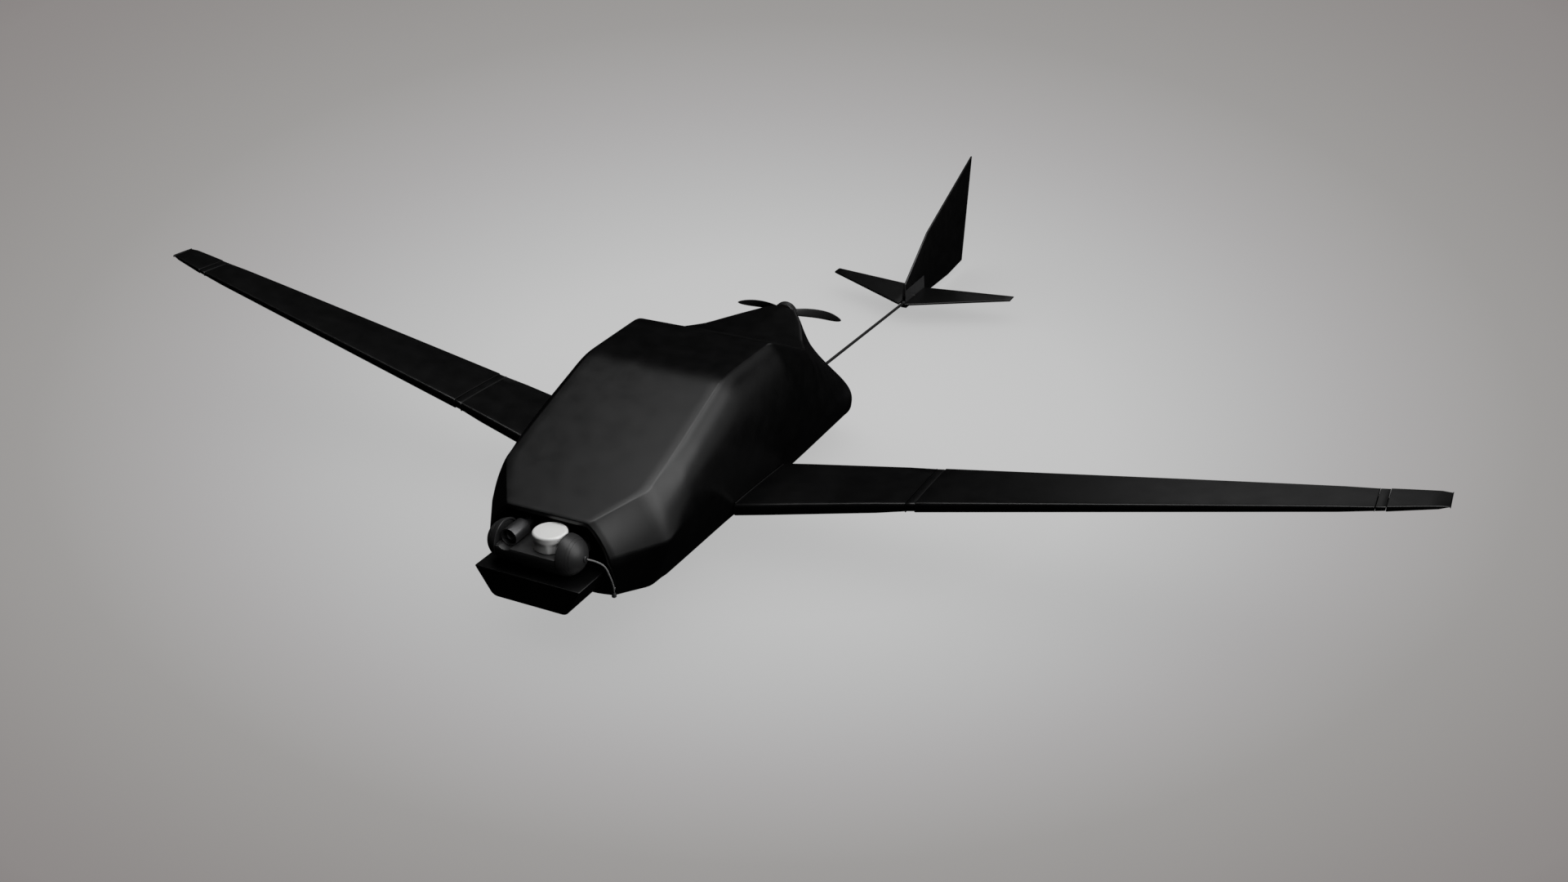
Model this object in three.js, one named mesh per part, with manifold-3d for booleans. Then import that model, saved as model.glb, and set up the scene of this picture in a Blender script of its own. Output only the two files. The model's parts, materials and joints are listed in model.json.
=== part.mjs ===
// A hand-launched foam survey aeroplane with a nose camera capsule, a pusher propeller and a boom tail.
// Millimetres. +X is the aeroplane's left, the nose points along -Y, +Z is up, and the origin is on the
// flat of the belly, under the wing.
import * as THREE from "three";
import { mergeVertices } from "three/addons/utils/BufferGeometryUtils.js";
import Module from "manifold-3d";

const wasm = await Module();
wasm.setup();

// ---------------------------------------------------------------- driving dimensions
const GAP = 0.3; // clearance between pieces that touch
const RUN = 0.1; // radial clearance of a turning fit
const WALL = 3; // hull moulding
const FINE = 32; // sides of a large round piece
const COARSE = 16; // sides of a small round piece

// Hull. Each station gives the deck's centre height, the top edge, the lower edge and the belly's flat edge.
// The flank is a facet pair over a chine at the nose and a barrel curve behind it. round mixes the two.
const SPLIT_Z = 36; // parting plane between shell and belly pan
const FLANK_STEPS = 10;
const NOSE_RAKE = 1 / 3; // the nose face leans back below its chine
// A swell shapes the flank's curve: how far out and down it leaves the top edge, then its lower pull.
const PYLON_BACK = 259;
const BARREL = [36, 18, 101, 66];
const NOSE = [16, 3, 80, 76];
const HULL = [
  {
    y: -235,
    crown: 126,
    edge: [45, 126],
    chine: [69.5, 87],
    low: [61, 45],
    keel: [40, 41],
    round: 0.7,
    swell: NOSE,
  },
  { y: -184, crown: 143, edge: [80.5, 143], chine: [101, 94], low: [79, 40], keel: [46, 27], round: 0.2 },
  { y: -165, crown: 149.7, edge: [80, 149.7], chine: [102, 100], low: [78, 38], keel: [46, 18], round: 0.5 },
  { y: -140, crown: 158.5, edge: [80, 158.5], chine: [103, 109], low: [78, 37], keel: [46, 8], round: 0.85 },
  { y: -110, crown: 169.1, edge: [79.5, 169.1], low: [78, 36], keel: [46, 0], swell: [36, 18, 101, 66] },
  { y: -31, crown: 197, edge: [78, 197], low: [79, 35], keel: [46, 0], swell: [37, 20, 103, 65] },
  { y: 20, crown: 197.3, edge: [79, 197.3], low: [81, 34.5], keel: [46, 0], swell: [37, 20, 105, 65] },
  { y: 69, crown: 197.6, edge: [80, 197.6], low: [83, 34], keel: [46, 0], swell: [36, 20, 106, 65] },
  { y: 110, crown: 179.1, edge: [81, 178.2], low: [83.5, 34], keel: [46, 0], swell: [25, 18, 105, 68] },
  { y: 157, crown: 157, edge: [79, 155.5], low: [84, 34], keel: [46, 0], swell: [16, 14, 103, 74] },
  { y: 184, crown: 155.4, edge: [62, 153.2], low: [84, 34], keel: [46, 0], swell: [22, 18, 107, 79] },
  { y: 211, crown: 155.2, edge: [49, 153.4], low: [84, 34], keel: [46, 0], swell: [21, 38, 109, 82] },
  { y: 231, crown: 155.6, edge: [38.5, 153.8], low: [84, 34], keel: [46, 0], swell: [18, 54, 112, 82] },
  { y: 246, crown: 156.4, edge: [28, 154.8], low: [84, 34], keel: [46, 0], swell: [16, 66, 115, 86] },
  { y: PYLON_BACK, crown: 157.8, edge: [18.5, 156], low: [84, 34], keel: [46, 1], swell: [15, 75, 118, 89] },
  { y: PYLON_BACK + 2, crown: 70, edge: [20, 69], low: [84, 34], keel: [46, 1], swell: [40, -5, 108, 64] },
  { y: 272, crown: 66, edge: [20, 65], low: [82, 33], keel: [45, 3], swell: [38, -4, 98, 60] },
  { y: 285, crown: 57, edge: [20, 56], low: [74, 31], keel: [42, 8], swell: [32, -2, 86, 50] },
  { y: 294, crown: 45, edge: [18, 44], low: [60, 28], keel: [36, 14], swell: [22, -1, 64, 40] },
];
const BAY = { lip: 4, low: 79.5, high: 122, back: -207 };

// Wing. Stations along the left wing: leading edge, trailing edge, thickness.
const HALF_SPAN = 750;
const FULLER = 4.2; // extra depth at the root, fading to nothing at the tip
const WING_ROOT = 90.5;
const ROOT_LEAN = 0.3; // radians that the root's inner end leans out with the hull's side
const ROOT_FLARE = 0.027; // radians between the root's inner end and the symmetry plane
const ROOT_TOP_Z = 57.5; // height of the upper surface at x = 90
const DIHEDRAL_SLOPE = 0.1742;
const INNER_BAND = [268.8, 277.8];
const OUTER_BAND = [690, 699];
const BAND_DEPTH = 1;
const TONGUE_DEPTH = 36;
const SPAR_R = 2.5;
const SPAR_Y = 4;
const WING = [
  { x: 0, front: -57, back: 59.4, thick: 10.8 },
  { x: WING_ROOT, front: -43, back: 62.5, thick: 10 },
  { x: 270, front: -14, back: 69, thick: 8 },
  { x: 695, front: 39.5, back: 79, thick: 4.6 },
  { x: HALF_SPAN, front: 50, back: 81, thick: 2.8 },
];

// Tail.
const BOOM_R = 1.9;
const BOOM_BORE_R = 1.4;
const BOOM_FRONT = 206;
const BOOM_REAR = 648;
const BOOM_REAR_Z = 26;
const BOOM_SLOPE = -0.0321; // the boom falls a little towards the tail
const TAIL_Z = 26;
const TAIL_PIVOT_Y = 684;
const STABILISER = {
  root: { x: 4.5, front: 641.5, back: 719 },
  tip: { x: 136.5, front: 713.8, back: 730.6 },
  thick: 3,
  rise: 3.7,
};
const FIN_THICK = 2.6;
const BLOCK = { front: 650, back: 722, low: 18.5, high: 53, lowHalf: 4, highHalf: 1 };
const COLLAR = { radius: 2.6, front: 644.5, bottom: 648.3 };
const CRANK_ARM = 5.5;

// Propulsion.
const PROP_Z = 145;
const MOTOR_PORT_R = 9.6;
const PROP_Y = 277;
const PROP_R = 68;
const BLADE_BOW = 7;
const HUB_R = 7;

// Capsule: a body of revolution lying along X.
const CAPSULE = { y: -250, z: 98, r: 20.4 };
const DECK_Z = 101.3; // the flat that the drum is cut off at

// ---------------------------------------------------------------- materials
const material = (color, roughness, metalness = 0) =>
  new THREE.MeshStandardMaterial({ color, roughness, metalness });
const HULL_BLACK = material(0x0c0c0d, 0.42);
const FOAM_BLACK = material(0x101011, 0.55);
const CARBON = material(0x0a0a0b, 0.35);
const NYLON = material(0x141415, 0.5);
const STEEL = material(0x9a9a9c, 0.3, 1);
const DARK_METAL = material(0x2a2a2c, 0.4, 0.8);
const COPPER = material(0x8a4a28, 0.4, 0.9);
const SATIN_WHITE = material(0xe6e6e2, 0.45);
const GLASS = material(0x050608, 0.05);
const LEAD_GREY = material(0x8c8c8c, 0.6);
const BOARD = material(0x15402a, 0.6);
const CELL = material(0x2b3440, 0.55);

// ---------------------------------------------------------------- solids
function toSolid(geometry) {
  const bare = geometry.clone();
  bare.deleteAttribute("normal");
  bare.deleteAttribute("uv");
  const merged = mergeVertices(bare, 1e-4);
  return new wasm.Manifold(
    new wasm.Mesh({
      numProp: 3,
      vertProperties: new Float32Array(merged.attributes.position.array),
      triVerts: new Uint32Array(merged.index.array),
    }),
  );
}

function toGeometry(solid) {
  const mesh = solid.getMesh();
  const geometry = new THREE.BufferGeometry();
  geometry.setAttribute("position", new THREE.BufferAttribute(mesh.vertProperties, 3));
  geometry.setIndex(new THREE.BufferAttribute(mesh.triVerts, 1));
  return geometry;
}

const cut = (from, ...tools) =>
  toGeometry(tools.reduce((solid, tool) => solid.subtract(toSolid(tool)), toSolid(from)));

const join = (first, ...others) =>
  toGeometry(others.reduce((solid, other) => solid.add(toSolid(other)), toSolid(first)));

const common = (first, second) => toGeometry(toSolid(first).intersect(toSolid(second)));

// A closed body from points and triangles, turned to face outward.
function closedBody(points, triangles) {
  const volume = triangles.reduce((sum, [a, b, c]) => {
    const p = new THREE.Vector3(...points[a]);
    const q = new THREE.Vector3(...points[b]);
    return sum + p.dot(q.cross(new THREE.Vector3(...points[c])));
  }, 0);
  const faces = volume > 0 ? triangles : triangles.map(([a, b, c]) => [a, c, b]);
  const geometry = new THREE.BufferGeometry();
  geometry.setAttribute("position", new THREE.Float32BufferAttribute(points.flat(), 3));
  geometry.setIndex(faces.flat());
  return geometry;
}

// A skin through rings of points, closed by a cap at each end. u and v are the two axes a cap is seen in.
function loft(rings, u, v) {
  const size = rings[0].length;
  const last = (rings.length - 1) * size;
  const triangles = [];
  for (let near = 0; near < last; near += size) {
    for (let i = 0; i < size; i += 1) {
      const j = (i + 1) % size;
      const far = near + size;
      triangles.push([near + i, near + j, far + j], [near + i, far + j, far + i]);
    }
  }
  // Ascending corners follow the ring, so the first cap is turned and the last one isn't.
  const cap = (ring) =>
    THREE.ShapeUtils.triangulateShape(ring.map((p) => new THREE.Vector2(p[u], p[v])), []).map((t) =>
      [...t].sort((p, q) => p - q),
    );
  cap(rings[0]).forEach(([a, b, c]) => triangles.push([c, b, a]));
  cap(rings.at(-1)).forEach((corners) => triangles.push(corners.map((corner) => last + corner)));
  return closedBody(rings.flat(), triangles);
}

const block = (width, depth, height, x, y, z) =>
  new THREE.BoxGeometry(width, depth, height).translate(x, y, z);

// A round rod between two heights of an axis through (a, b) of the other two axes.
function rod(axis, radius, from, to, a, b, sides = COARSE) {
  const geometry = new THREE.CylinderGeometry(radius, radius, to - from, sides);
  const middle = (from + to) / 2;
  if (axis === "x") return geometry.rotateZ(Math.PI / 2).translate(middle, a, b);
  if (axis === "y") return geometry.translate(a, middle, b);
  return geometry.rotateX(Math.PI / 2).translate(a, b, middle);
}

// A turned body from [radius, height] pairs, about an axis through (a, b) of the other two axes.
function turned(axis, profile, a, b, sides = FINE) {
  const outline = profile.map(([radius, height]) => new THREE.Vector2(radius, height));
  const geometry = new THREE.LatheGeometry(outline, sides);
  if (axis === "x") geometry.rotateZ(-Math.PI / 2).translate(0, a, b);
  if (axis === "y") geometry.translate(a, 0, b);
  if (axis === "z") geometry.rotateX(Math.PI / 2).translate(a, b, 0);
  return outward(geometry);
}

function outward(geometry) {
  const bare = geometry.clone();
  bare.deleteAttribute("normal");
  bare.deleteAttribute("uv");
  const merged = mergeVertices(bare, 1e-4);
  const p = merged.attributes.position;
  const points = Array.from({ length: p.count }, (_, i) => [p.getX(i), p.getY(i), p.getZ(i)]);
  const index = merged.index.array;
  const triangles = [];
  for (let i = 0; i < index.length; i += 3) {
    const [a, b, c] = [index[i], index[i + 1], index[i + 2]];
    if (a !== b && b !== c && c !== a) triangles.push([a, b, c]);
  }
  return closedBody(points, triangles);
}

// The same piece on the other side of the symmetry plane.
function mirrored(geometry) {
  const other = geometry.index ? geometry.toNonIndexed() : geometry.clone();
  other.scale(-1, 1, 1);
  return outward(other);
}

// A tube along a smooth route.
function tube(route, radius, steps, sides = 8) {
  const section = new THREE.Shape();
  section.absarc(0, 0, radius, 0, 2 * Math.PI);
  const path = new THREE.CatmullRomCurve3(route.map((p) => new THREE.Vector3(...p)));
  const options = { steps, extrudePath: path, curveSegments: sides / 2, bevelEnabled: false };
  return outward(new THREE.ExtrudeGeometry(section, options));
}

// ---------------------------------------------------------------- hull
const cubic = (a, b, c, d, t) =>
  a * (1 - t) ** 3 + 3 * b * t * (1 - t) ** 2 + 3 * c * t * t * (1 - t) + d * t ** 3;

// The flank from the top edge to the lower edge, as FLANK_STEPS spans.
function flank({ edge, chine, low, round = 1, swell = BARREL }) {
  const [out, drop, lowX, lowZ] = swell;
  return Array.from({ length: FLANK_STEPS + 1 }, (_, i) => {
    const t = i / FLANK_STEPS;
    const curve = [
      cubic(edge[0], edge[0] + out, lowX, low[0], t),
      cubic(edge[1], edge[1] - drop, lowZ, low[1], t),
    ];
    if (round === 1) return curve;
    const [from, to, s] = t < 0.5 ? [edge, chine, 2 * t] : [chine, low, 2 * t - 1];
    return [0, 1].map((k) => round * curve[k] + (1 - round) * (from[k] + (to[k] - from[k]) * s));
  });
}

// One half of a station's outline, from the top centre to the bottom centre.
function halfOutline(station) {
  return [[0, station.crown], ...flank(station), station.keel, [0, station.keel[1]]];
}

// Moves an outline's half inward by a wall, keeping its ends on the symmetry plane.
function inset(half, wall) {
  return half.map(([x, z], i) => {
    if (i === 0) return [0, z - wall];
    if (i === half.length - 1) return [0, z + wall];
    const [before, after] = [half[i - 1], half[i + 1]];
    const one = new THREE.Vector2(x - before[0], z - before[1]).normalize();
    const two = new THREE.Vector2(after[0] - x, after[1] - z).normalize();
    const normal = new THREE.Vector2(one.y + two.y, -one.x - two.x).normalize();
    const reach = wall / Math.max(0.5, normal.dot(new THREE.Vector2(one.y, -one.x)));
    return [Math.max(0.5, x + normal.x * reach), z + normal.y * reach];
  });
}

function hullRing(station, wall, shift = 0) {
  const outline = halfOutline(station);
  const half = wall ? inset(outline, wall) : outline;
  const whole = [...half, ...half.slice(1, -1).reverse().map(([x, z]) => [-x, z])];
  const rake = (z) => (station.y === HULL[0].y ? Math.max(0, HULL[0].chine[1] - z) * NOSE_RAKE : 0);
  return whole.map(([x, z]) => [x, station.y + shift + rake(z), z]);
}

const hullSolid = () => loft(HULL.map((station) => hullRing(station, 0)), 0, 2);

// The space inside the hull: the walls across its ends are as thick as the flanks.
function hullCavity(wall = WALL) {
  const shift = (y) => {
    if (y === HULL[0].y) return WALL;
    return y < PYLON_BACK ? 0 : -WALL;
  };
  const rings = HULL.map((station) => hullRing(station, wall, shift(station.y)));
  return loft(rings, 0, 2);
}

const FAR = 600; // larger than the hull, for cutting it in two
const slab = (low, high) => block(FAR, 2 * FAR, high - low, 0, 0, (low + high) / 2);

// The mouth of the nose bay follows the nose's outline inside a lip.
function noseBay() {
  const mouth = loft([hullRing(HULL[0], BAY.lip, -12), hullRing(HULL[0], BAY.lip, 8)], 0, 2);
  return common(mouth, slab(BAY.low, BAY.high));
}

function fuselageShell() {
  const upper = common(hullSolid(), slab(SPLIT_Z + GAP / 2, FAR));
  const motorPort = rod("y", MOTOR_PORT_R, 240, 264, 0, PROP_Z, FINE);
  const sparPort = sparRod(SPAR_R + GAP, -120, 120);
  return cut(upper, hullCavity(), noseBay(), motorPort, sparPort, boomRod(BOOM_R + GAP, 270, 300));
}

function bellyPan() {
  const lower = common(hullSolid(), slab(-FAR, SPLIT_Z - GAP / 2));
  return cut(lower, hullCavity(), boomRod(BOOM_R + GAP, 270, 300));
}

// The wall behind the nose bay fills the hull's inner outline.
function noseBulkhead() {
  return common(hullCavity(WALL + GAP), block(FAR, 2.4, FAR, 0, BAY.back + 1.2, SPLIT_Z + 1 + FAR / 2));
}

// ---------------------------------------------------------------- nose shelf
const TRAY = { half: 58, lowHalf: 41, front: -274.5, lowFront: -273, top: 77, low: 47, wall: 2.4 };

// The shelf is widest at its flat top, and its flanks slope in underneath. It is open at the back.
function chinTray() {
  const { half, lowHalf, front, lowFront, top, low, wall } = TRAY;
  const outline = (inner, y, lowY) => [
    [-half + 1.5 * inner, y, top - inner],
    [half - 1.5 * inner, y, top - inner],
    [lowHalf - inner, lowY, low + inner],
    [-lowHalf + inner, lowY, low + inner],
  ];
  const back = HULL[0].y - GAP;
  const lowBack = back + (HULL[0].chine[1] - low) * NOSE_RAKE;
  const outer = loft([outline(0, front, lowFront), outline(0, back, lowBack)], 0, 2);
  const frontWall = outline(wall, front + wall, lowFront + wall);
  const hollow = loft([frontWall, outline(wall, back + 1, lowBack + 1)], 0, 2);
  return cut(outer, hollow);
}

// ---------------------------------------------------------------- capsule
const LEFT_DOME = { rim: 30, centre: 29.8 };
const RIGHT_DOME = { rim: 36, centre: 33.6 };
const DOME_WALL = 1.8;
const BOSS_R = 5;
const TRUNNION_R = 2.4;

// A dome on the +X side: a shell with a central boss tube that carries the drum's trunnion.
function dome({ rim, centre }, hubSteps = 8) {
  const arc = (radius, steps) =>
    Array.from({ length: steps + 1 }, (_, i) => {
      const hole = Math.asin((TRUNNION_R + RUN) / radius);
      const angle = Math.PI / 2 - (i / steps) * (Math.PI / 2 - hole);
      return [radius * Math.sin(angle), centre + radius * Math.cos(angle)];
    });
  const outer = [[CAPSULE.r, rim], ...arc(CAPSULE.r, hubSteps).filter(([, x]) => x > rim + 0.2)];
  const innerR = CAPSULE.r - DOME_WALL;
  const bossEnd = centre + Math.sqrt(innerR ** 2 - BOSS_R ** 2);
  const inner = arc(innerR, hubSteps)
    .filter(([radius, x]) => x > rim + 0.2 && radius > BOSS_R + 0.5)
    .reverse();
  const boss = [[TRUNNION_R + RUN, rim + 3], [BOSS_R, rim + 3], [BOSS_R, bossEnd]];
  return turned("x", [...outer, ...boss, ...inner, [innerR, rim], [CAPSULE.r, rim]], CAPSULE.y, CAPSULE.z);
}

// The disc that closes a dome, a little inside its rim.
function domeFace({ rim }) {
  const profile = [
    [TRUNNION_R + RUN, rim + 0.6],
    [CAPSULE.r - DOME_WALL - 0.9, rim + 0.6],
    [CAPSULE.r - DOME_WALL - 0.9, rim + 2.2],
    [TRUNNION_R + RUN, rim + 2.2],
    [TRUNNION_R + RUN, rim + 0.6],
  ];
  return turned("x", profile, CAPSULE.y, CAPSULE.z);
}

const DRUM_R = CAPSULE.r - 0.2;
const DRUM_ENDS = [-RIGHT_DOME.rim + GAP, LEFT_DOME.rim - GAP];

// The drum is cut off flat as a deck, with a groove that the camera lies in.
function gimbalDrum() {
  const [right, left] = DRUM_ENDS;
  const { y, z } = CAPSULE;
  const boat = common(rod("x", DRUM_R, right, left, y, z, FINE), slab(0, DECK_Z));
  const trunnions = rod("x", TRUNNION_R, right - 9, left + 9, y, z, COARSE);
  return cut(join(boat, trunnions), rod("y", CAMERA.r + GAP, -280, -220, CAMERA.x, CAMERA.z, FINE));
}

const CAMERA = { x: -25, z: 108, front: -262, step: -239, back: -226.8, r: 8.8, rearR: 4.9 };

function cameraBarrel() {
  const { x, z, front, step, r } = CAMERA;
  const profile = [
    [0, front + 6],
    [6.3, front + 6],
    [6.3, front],
    [r - 0.6, front],
    [r, front + 0.6],
    [r, step],
    [0, step],
  ];
  return turned("y", profile, x, z);
}

const cameraRear = () =>
  turned(
    "y",
    [
      [0, CAMERA.step + GAP],
      [CAMERA.rearR, CAMERA.step + GAP],
      [CAMERA.rearR, CAMERA.back - 1],
      [CAMERA.rearR - 1, CAMERA.back],
      [0, CAMERA.back],
    ],
    CAMERA.x,
    CAMERA.z,
  );

function cameraLens() {
  const base = CAMERA.front + 6 - GAP;
  const dome = [[4.6, base - 2.4], [2.4, base - 3.1], [0, base - 3.3]];
  const profile = [[0, base], [5.9, base], [5.9, base - 1.2], ...dome];
  return turned("y", profile.reverse(), CAMERA.x, CAMERA.z);
}

const PUCK = { x: 12.6, y: -249, low: DECK_Z + GAP, cap: 113.5, high: 118.6, r: 16.8, bodyR: 15.6 };
const PUCK_TURN = -67; // where one of the body's six edges points, in degrees from +X

// A six-sided body under a round cap with a soft top edge.
function sensorPuck() {
  const { x, y, low, cap, high, r, bodyR } = PUCK;
  const soft = 2.2;
  const shoulder = [0, 1, 2, 3].map((i) => {
    const angle = (i / 3) * (Math.PI / 2);
    return [r - soft + soft * Math.cos(angle), high - soft + soft * Math.sin(angle)];
  });
  const lid = turned("z", [[0, cap], [r - 1, cap], [r, cap + 1], ...shoulder, [0, high]], x, y);
  const corner = (i) => THREE.MathUtils.degToRad(PUCK_TURN + 60 * i);
  const ring = (z) =>
    [0, 1, 2, 3, 4, 5].map((i) => [x + bodyR * Math.cos(corner(i)), y + bodyR * Math.sin(corner(i)), z]);
  return join(lid, loft([ring(low), ring(cap + 1)], 0, 1));
}

// Arms from the bulkhead carry the domes. Each ends in a saddle on its dome.
function gimbalArm({ rim, centre }) {
  const arm = block(10, 29, 9, rim + 7, -222.5, CAPSULE.z);
  const ball = new THREE.SphereGeometry(CAPSULE.r + GAP, FINE, COARSE);
  return cut(arm, ball.translate(centre, CAPSULE.y, CAPSULE.z));
}

// A small tilt motor on the inner face of the right dome's disc.
function tiltMotor() {
  const from = -RIGHT_DOME.rim - 2.2 - GAP;
  const corners = [[BOSS_R + 1, from - 4.5], [11, from - 4.5], [11, from], [BOSS_R + 1, from]];
  return turned("x", [...corners, corners[0]], CAPSULE.y, CAPSULE.z);
}

// Signal lead from the left dome's hub, round the front of the nose and down to a gland under it.
const LEAD_R = 0.9;
const LEAD_ROUTE = [
  [52, -250, 98],
  [53.6, -249, 97.4],
  [56.4, -244.8, 94.4],
  [60.4, -239.6, 89.4],
  [63.4, -236.9, 84],
  [65, -234.6, 76],
  [65.6, -231.6, 67],
  [64.8, -228.3, 58],
  [63.6, -226.6, 53.4],
];
const signalLead = () => tube(LEAD_ROUTE, LEAD_R, 26);
const leadHub = () =>
  turned(
    "x",
    [[0, 47], [2.2, 47], [2.2, 50.3], [3.2, 50.3], [2.8, 51.4], [0, 51.4]],
    CAPSULE.y,
    CAPSULE.z,
    COARSE,
  );
const leadGland = () => block(4.6, 5, 5.2, 63.4, -226.4, 50.2);

// ---------------------------------------------------------------- propulsion
function motorMount() {
  const plate = rod("y", 9.2, 247, 249.6, 0, PROP_Z, FINE);
  return cut(plate, rod("y", 2.4, 240, 255, 0, PROP_Z));
}

// The fixed half of the motor: a boss through the hull's rear wall and the wound core in the bell.
const motorStator = () =>
  turned(
    "y",
    [[1.8, 249.9], [8.8, 249.9], [8.8, 261.6], [10, 261.6], [10, 269.6], [1.8, 269.6], [1.8, 249.9]],
    0,
    PROP_Z,
  );

// The turning can, closed behind, with the shaft that runs in the stator.
const motorBell = () =>
  turned(
    "y",
    [
      [0, 252],
      [1.5, 252],
      [1.5, 270.4],
      [10.6, 270.4],
      [10.6, 262.2],
      [14, 262.2],
      [14.4, 262.8],
      [14.4, 271.4],
      [13.4, 272.6],
      [3, 272.6],
      [3, 284.5],
      [0, 284.5],
    ],
    0,
    PROP_Z,
  );

// One blade along +X: thin lens sections, twisted, bowed backward between root and tip.
function propellerBlade() {
  const stations = [
    { r: 2, chord: 6.6, twist: 40, thick: 4 },
    { r: 8, chord: 8.6, twist: 36, thick: 3.2 },
    { r: 20, chord: 9.9, twist: 26, thick: 2.4 },
    { r: 34, chord: 10.2, twist: 18, thick: 1.9 },
    { r: 48, chord: 9.8, twist: 14, thick: 1.5 },
    { r: 58, chord: 7.8, twist: 12, thick: 1.2 },
    { r: 65, chord: 4.5, twist: 11, thick: 0.9 },
    { r: PROP_R, chord: 1.4, twist: 11, thick: 0.6 },
  ];
  const rings = stations.map(({ r, chord, twist, thick }) => {
    const angle = THREE.MathUtils.degToRad(twist);
    const bow = BLADE_BOW * Math.sin((Math.PI * Math.max(0, r - HUB_R)) / (PROP_R - HUB_R));
    const lens = Array.from({ length: 10 }, (_, i) => {
      const turn = (2 * Math.PI * i) / 10;
      return [(chord / 2) * Math.cos(turn), (thick / 2) * Math.sin(turn)];
    });
    return lens.map(([c, t]) => [
      r,
      PROP_Y + bow + c * Math.sin(angle) + t * Math.cos(angle),
      PROP_Z + c * Math.cos(angle) - t * Math.sin(angle),
    ]);
  });
  return loft(rings, 1, 2);
}

function propeller() {
  const blade = propellerBlade();
  const other = blade.clone().translate(0, 0, -PROP_Z).rotateY(Math.PI).translate(0, 0, PROP_Z);
  const hubProfile = [[0, 272.9], [6.6, 272.9], [7, 273.4], [7, 280], [6.4, 280.6], [0, 280.6]];
  const hub = turned("y", hubProfile, 0, PROP_Z);
  return cut(join(hub, blade, other), rod("y", 3 + GAP, 265, 290, 0, PROP_Z));
}

const propellerNut = () =>
  cut(
    turned("y", [[0, 280.9], [5, 280.9], [5, 283.6], [3.9, 286.4], [1.8, 287.8], [0, 288]], 0, PROP_Z, 6),
    rod("y", 3 + GAP, 279, 284.8, 0, PROP_Z),
  );

// ---------------------------------------------------------------- wing
function wingAt(x) {
  const next = Math.max(1, WING.findIndex((station) => station.x >= x));
  const [a, b] = [WING[next - 1], WING[next]];
  const mix = (key) => a[key] + ((b[key] - a[key]) * (x - a.x)) / (b.x - a.x);
  const fuller = FULLER * Math.sqrt(1 - Math.min(x, HALF_SPAN) / HALF_SPAN);
  const thick = mix("thick") + fuller;
  const middle = ROOT_TOP_Z + DIHEDRAL_SLOPE * (x - 90) + fuller - thick / 2;
  return { front: mix("front"), back: mix("back") + 1.8 * fuller, thick, middle };
}

// A ring of points round a section: a round nose, then a taper to the back edge. A high fullness keeps the
// thickness further back.
const NOSE_PART = 0.06;
const BACK_EDGE = 0.5;
function foil(x, { front, back, thick, middle }, fullness = 1.8) {
  const chord = back - front;
  const nose = [0, 30, 60, 90].map((degrees) => {
    const angle = THREE.MathUtils.degToRad(degrees);
    return [NOSE_PART * (1 - Math.cos(angle)), Math.sin(angle)];
  });
  const body = [0.28, 0.5, 0.75, 1].map((u) => {
    const s = (u - NOSE_PART) / (1 - NOSE_PART);
    return [u, 1 - (1 - BACK_EDGE) * s ** fullness];
  });
  const upper = [...nose, ...body];
  const at = (sign) => ([u, h]) => [x, front + u * chord, middle + (sign * h * thick) / 2];
  return [...upper.map(at(1)).reverse(), ...upper.slice(1).map(at(-1))];
}

function wingPanel(from, to, depth = 0) {
  const stops = [from, ...WING.map(({ x }) => x).filter((x) => x > from + 1 && x < to - 1), to];
  const rings = stops.map((x) => {
    const { front, back, thick, middle } = wingAt(x);
    return foil(x, { front: front + depth, back: back - depth, thick: thick - 2 * depth, middle });
  });
  return loft(rings, 1, 2);
}

// A flat tongue along the wing between two stations, straight through the wing's middle at the band.
const TONGUE_SLOPE = 0.1785;
function tongue(from, to, { at, front, back, thick }, gap = 0) {
  const { middle } = wingAt(at);
  const ring = (x) => {
    const z = middle + TONGUE_SLOPE * (x - at);
    const half = thick / 2 + gap;
    return [
      [x, front - gap, z - half],
      [x, back + gap, z - half],
      [x, back + gap, z + half],
      [x, front - gap, z + half],
    ];
  };
  return loft([ring(from - gap), ring(to + gap)], 1, 2);
}

const INNER_TONGUE = { at: 273.3, front: 4, back: 38, thick: 2.6 };
const OUTER_TONGUE = { at: 694.5, front: 48, back: 63, thick: 1.4 };

function joiner([from, to], shape, depth, inward, outward) {
  const collar = wingPanel(from + GAP, to - GAP, depth);
  return join(collar, tongue(from - inward, to + outward, shape));
}

const SPAR_END = 232;
const sparHeight = (x) => wingAt(91).middle + (wingAt(230).middle - wingAt(91).middle) * ((x - 91) / 139);

// One rod through both root panels and the hull, bent to the dihedral in the middle.
function sparRod(radius, from, to) {
  const bend = 12;
  const stops = [from, ...[-bend, 0, bend].filter((x) => x > from && x < to), to];
  const rings = stops.map((x) => {
    const z = sparHeight(x === 0 ? bend / 2 : Math.abs(x));
    return Array.from({ length: 12 }, (_, i) => {
      const turn = (i / 12) * 2 * Math.PI;
      return [x, SPAR_Y + radius * Math.cos(turn), z + radius * Math.sin(turn)];
    });
  });
  return loft(rings, 1, 2);
}

// The root panel's inner end is cut to the hull's slightly flared side.
function wingRoot() {
  const hullSide = block(20, 400, 100, WING_ROOT - 10, 0, 60);
  hullSide.translate(-WING_ROOT, 0, -ROOT_TOP_Z).rotateY(ROOT_LEAN).rotateZ(-ROOT_FLARE);
  hullSide.translate(WING_ROOT + 1.9, 0, ROOT_TOP_Z);
  return cut(
    wingPanel(WING_ROOT - 4, INNER_BAND[0]),
    hullSide,
    sparRod(SPAR_R + 0.2, 60, SPAR_END + 1),
    tongue(INNER_BAND[0] - 24, INNER_BAND[0] + 5, INNER_TONGUE, GAP),
  );
}

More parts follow.
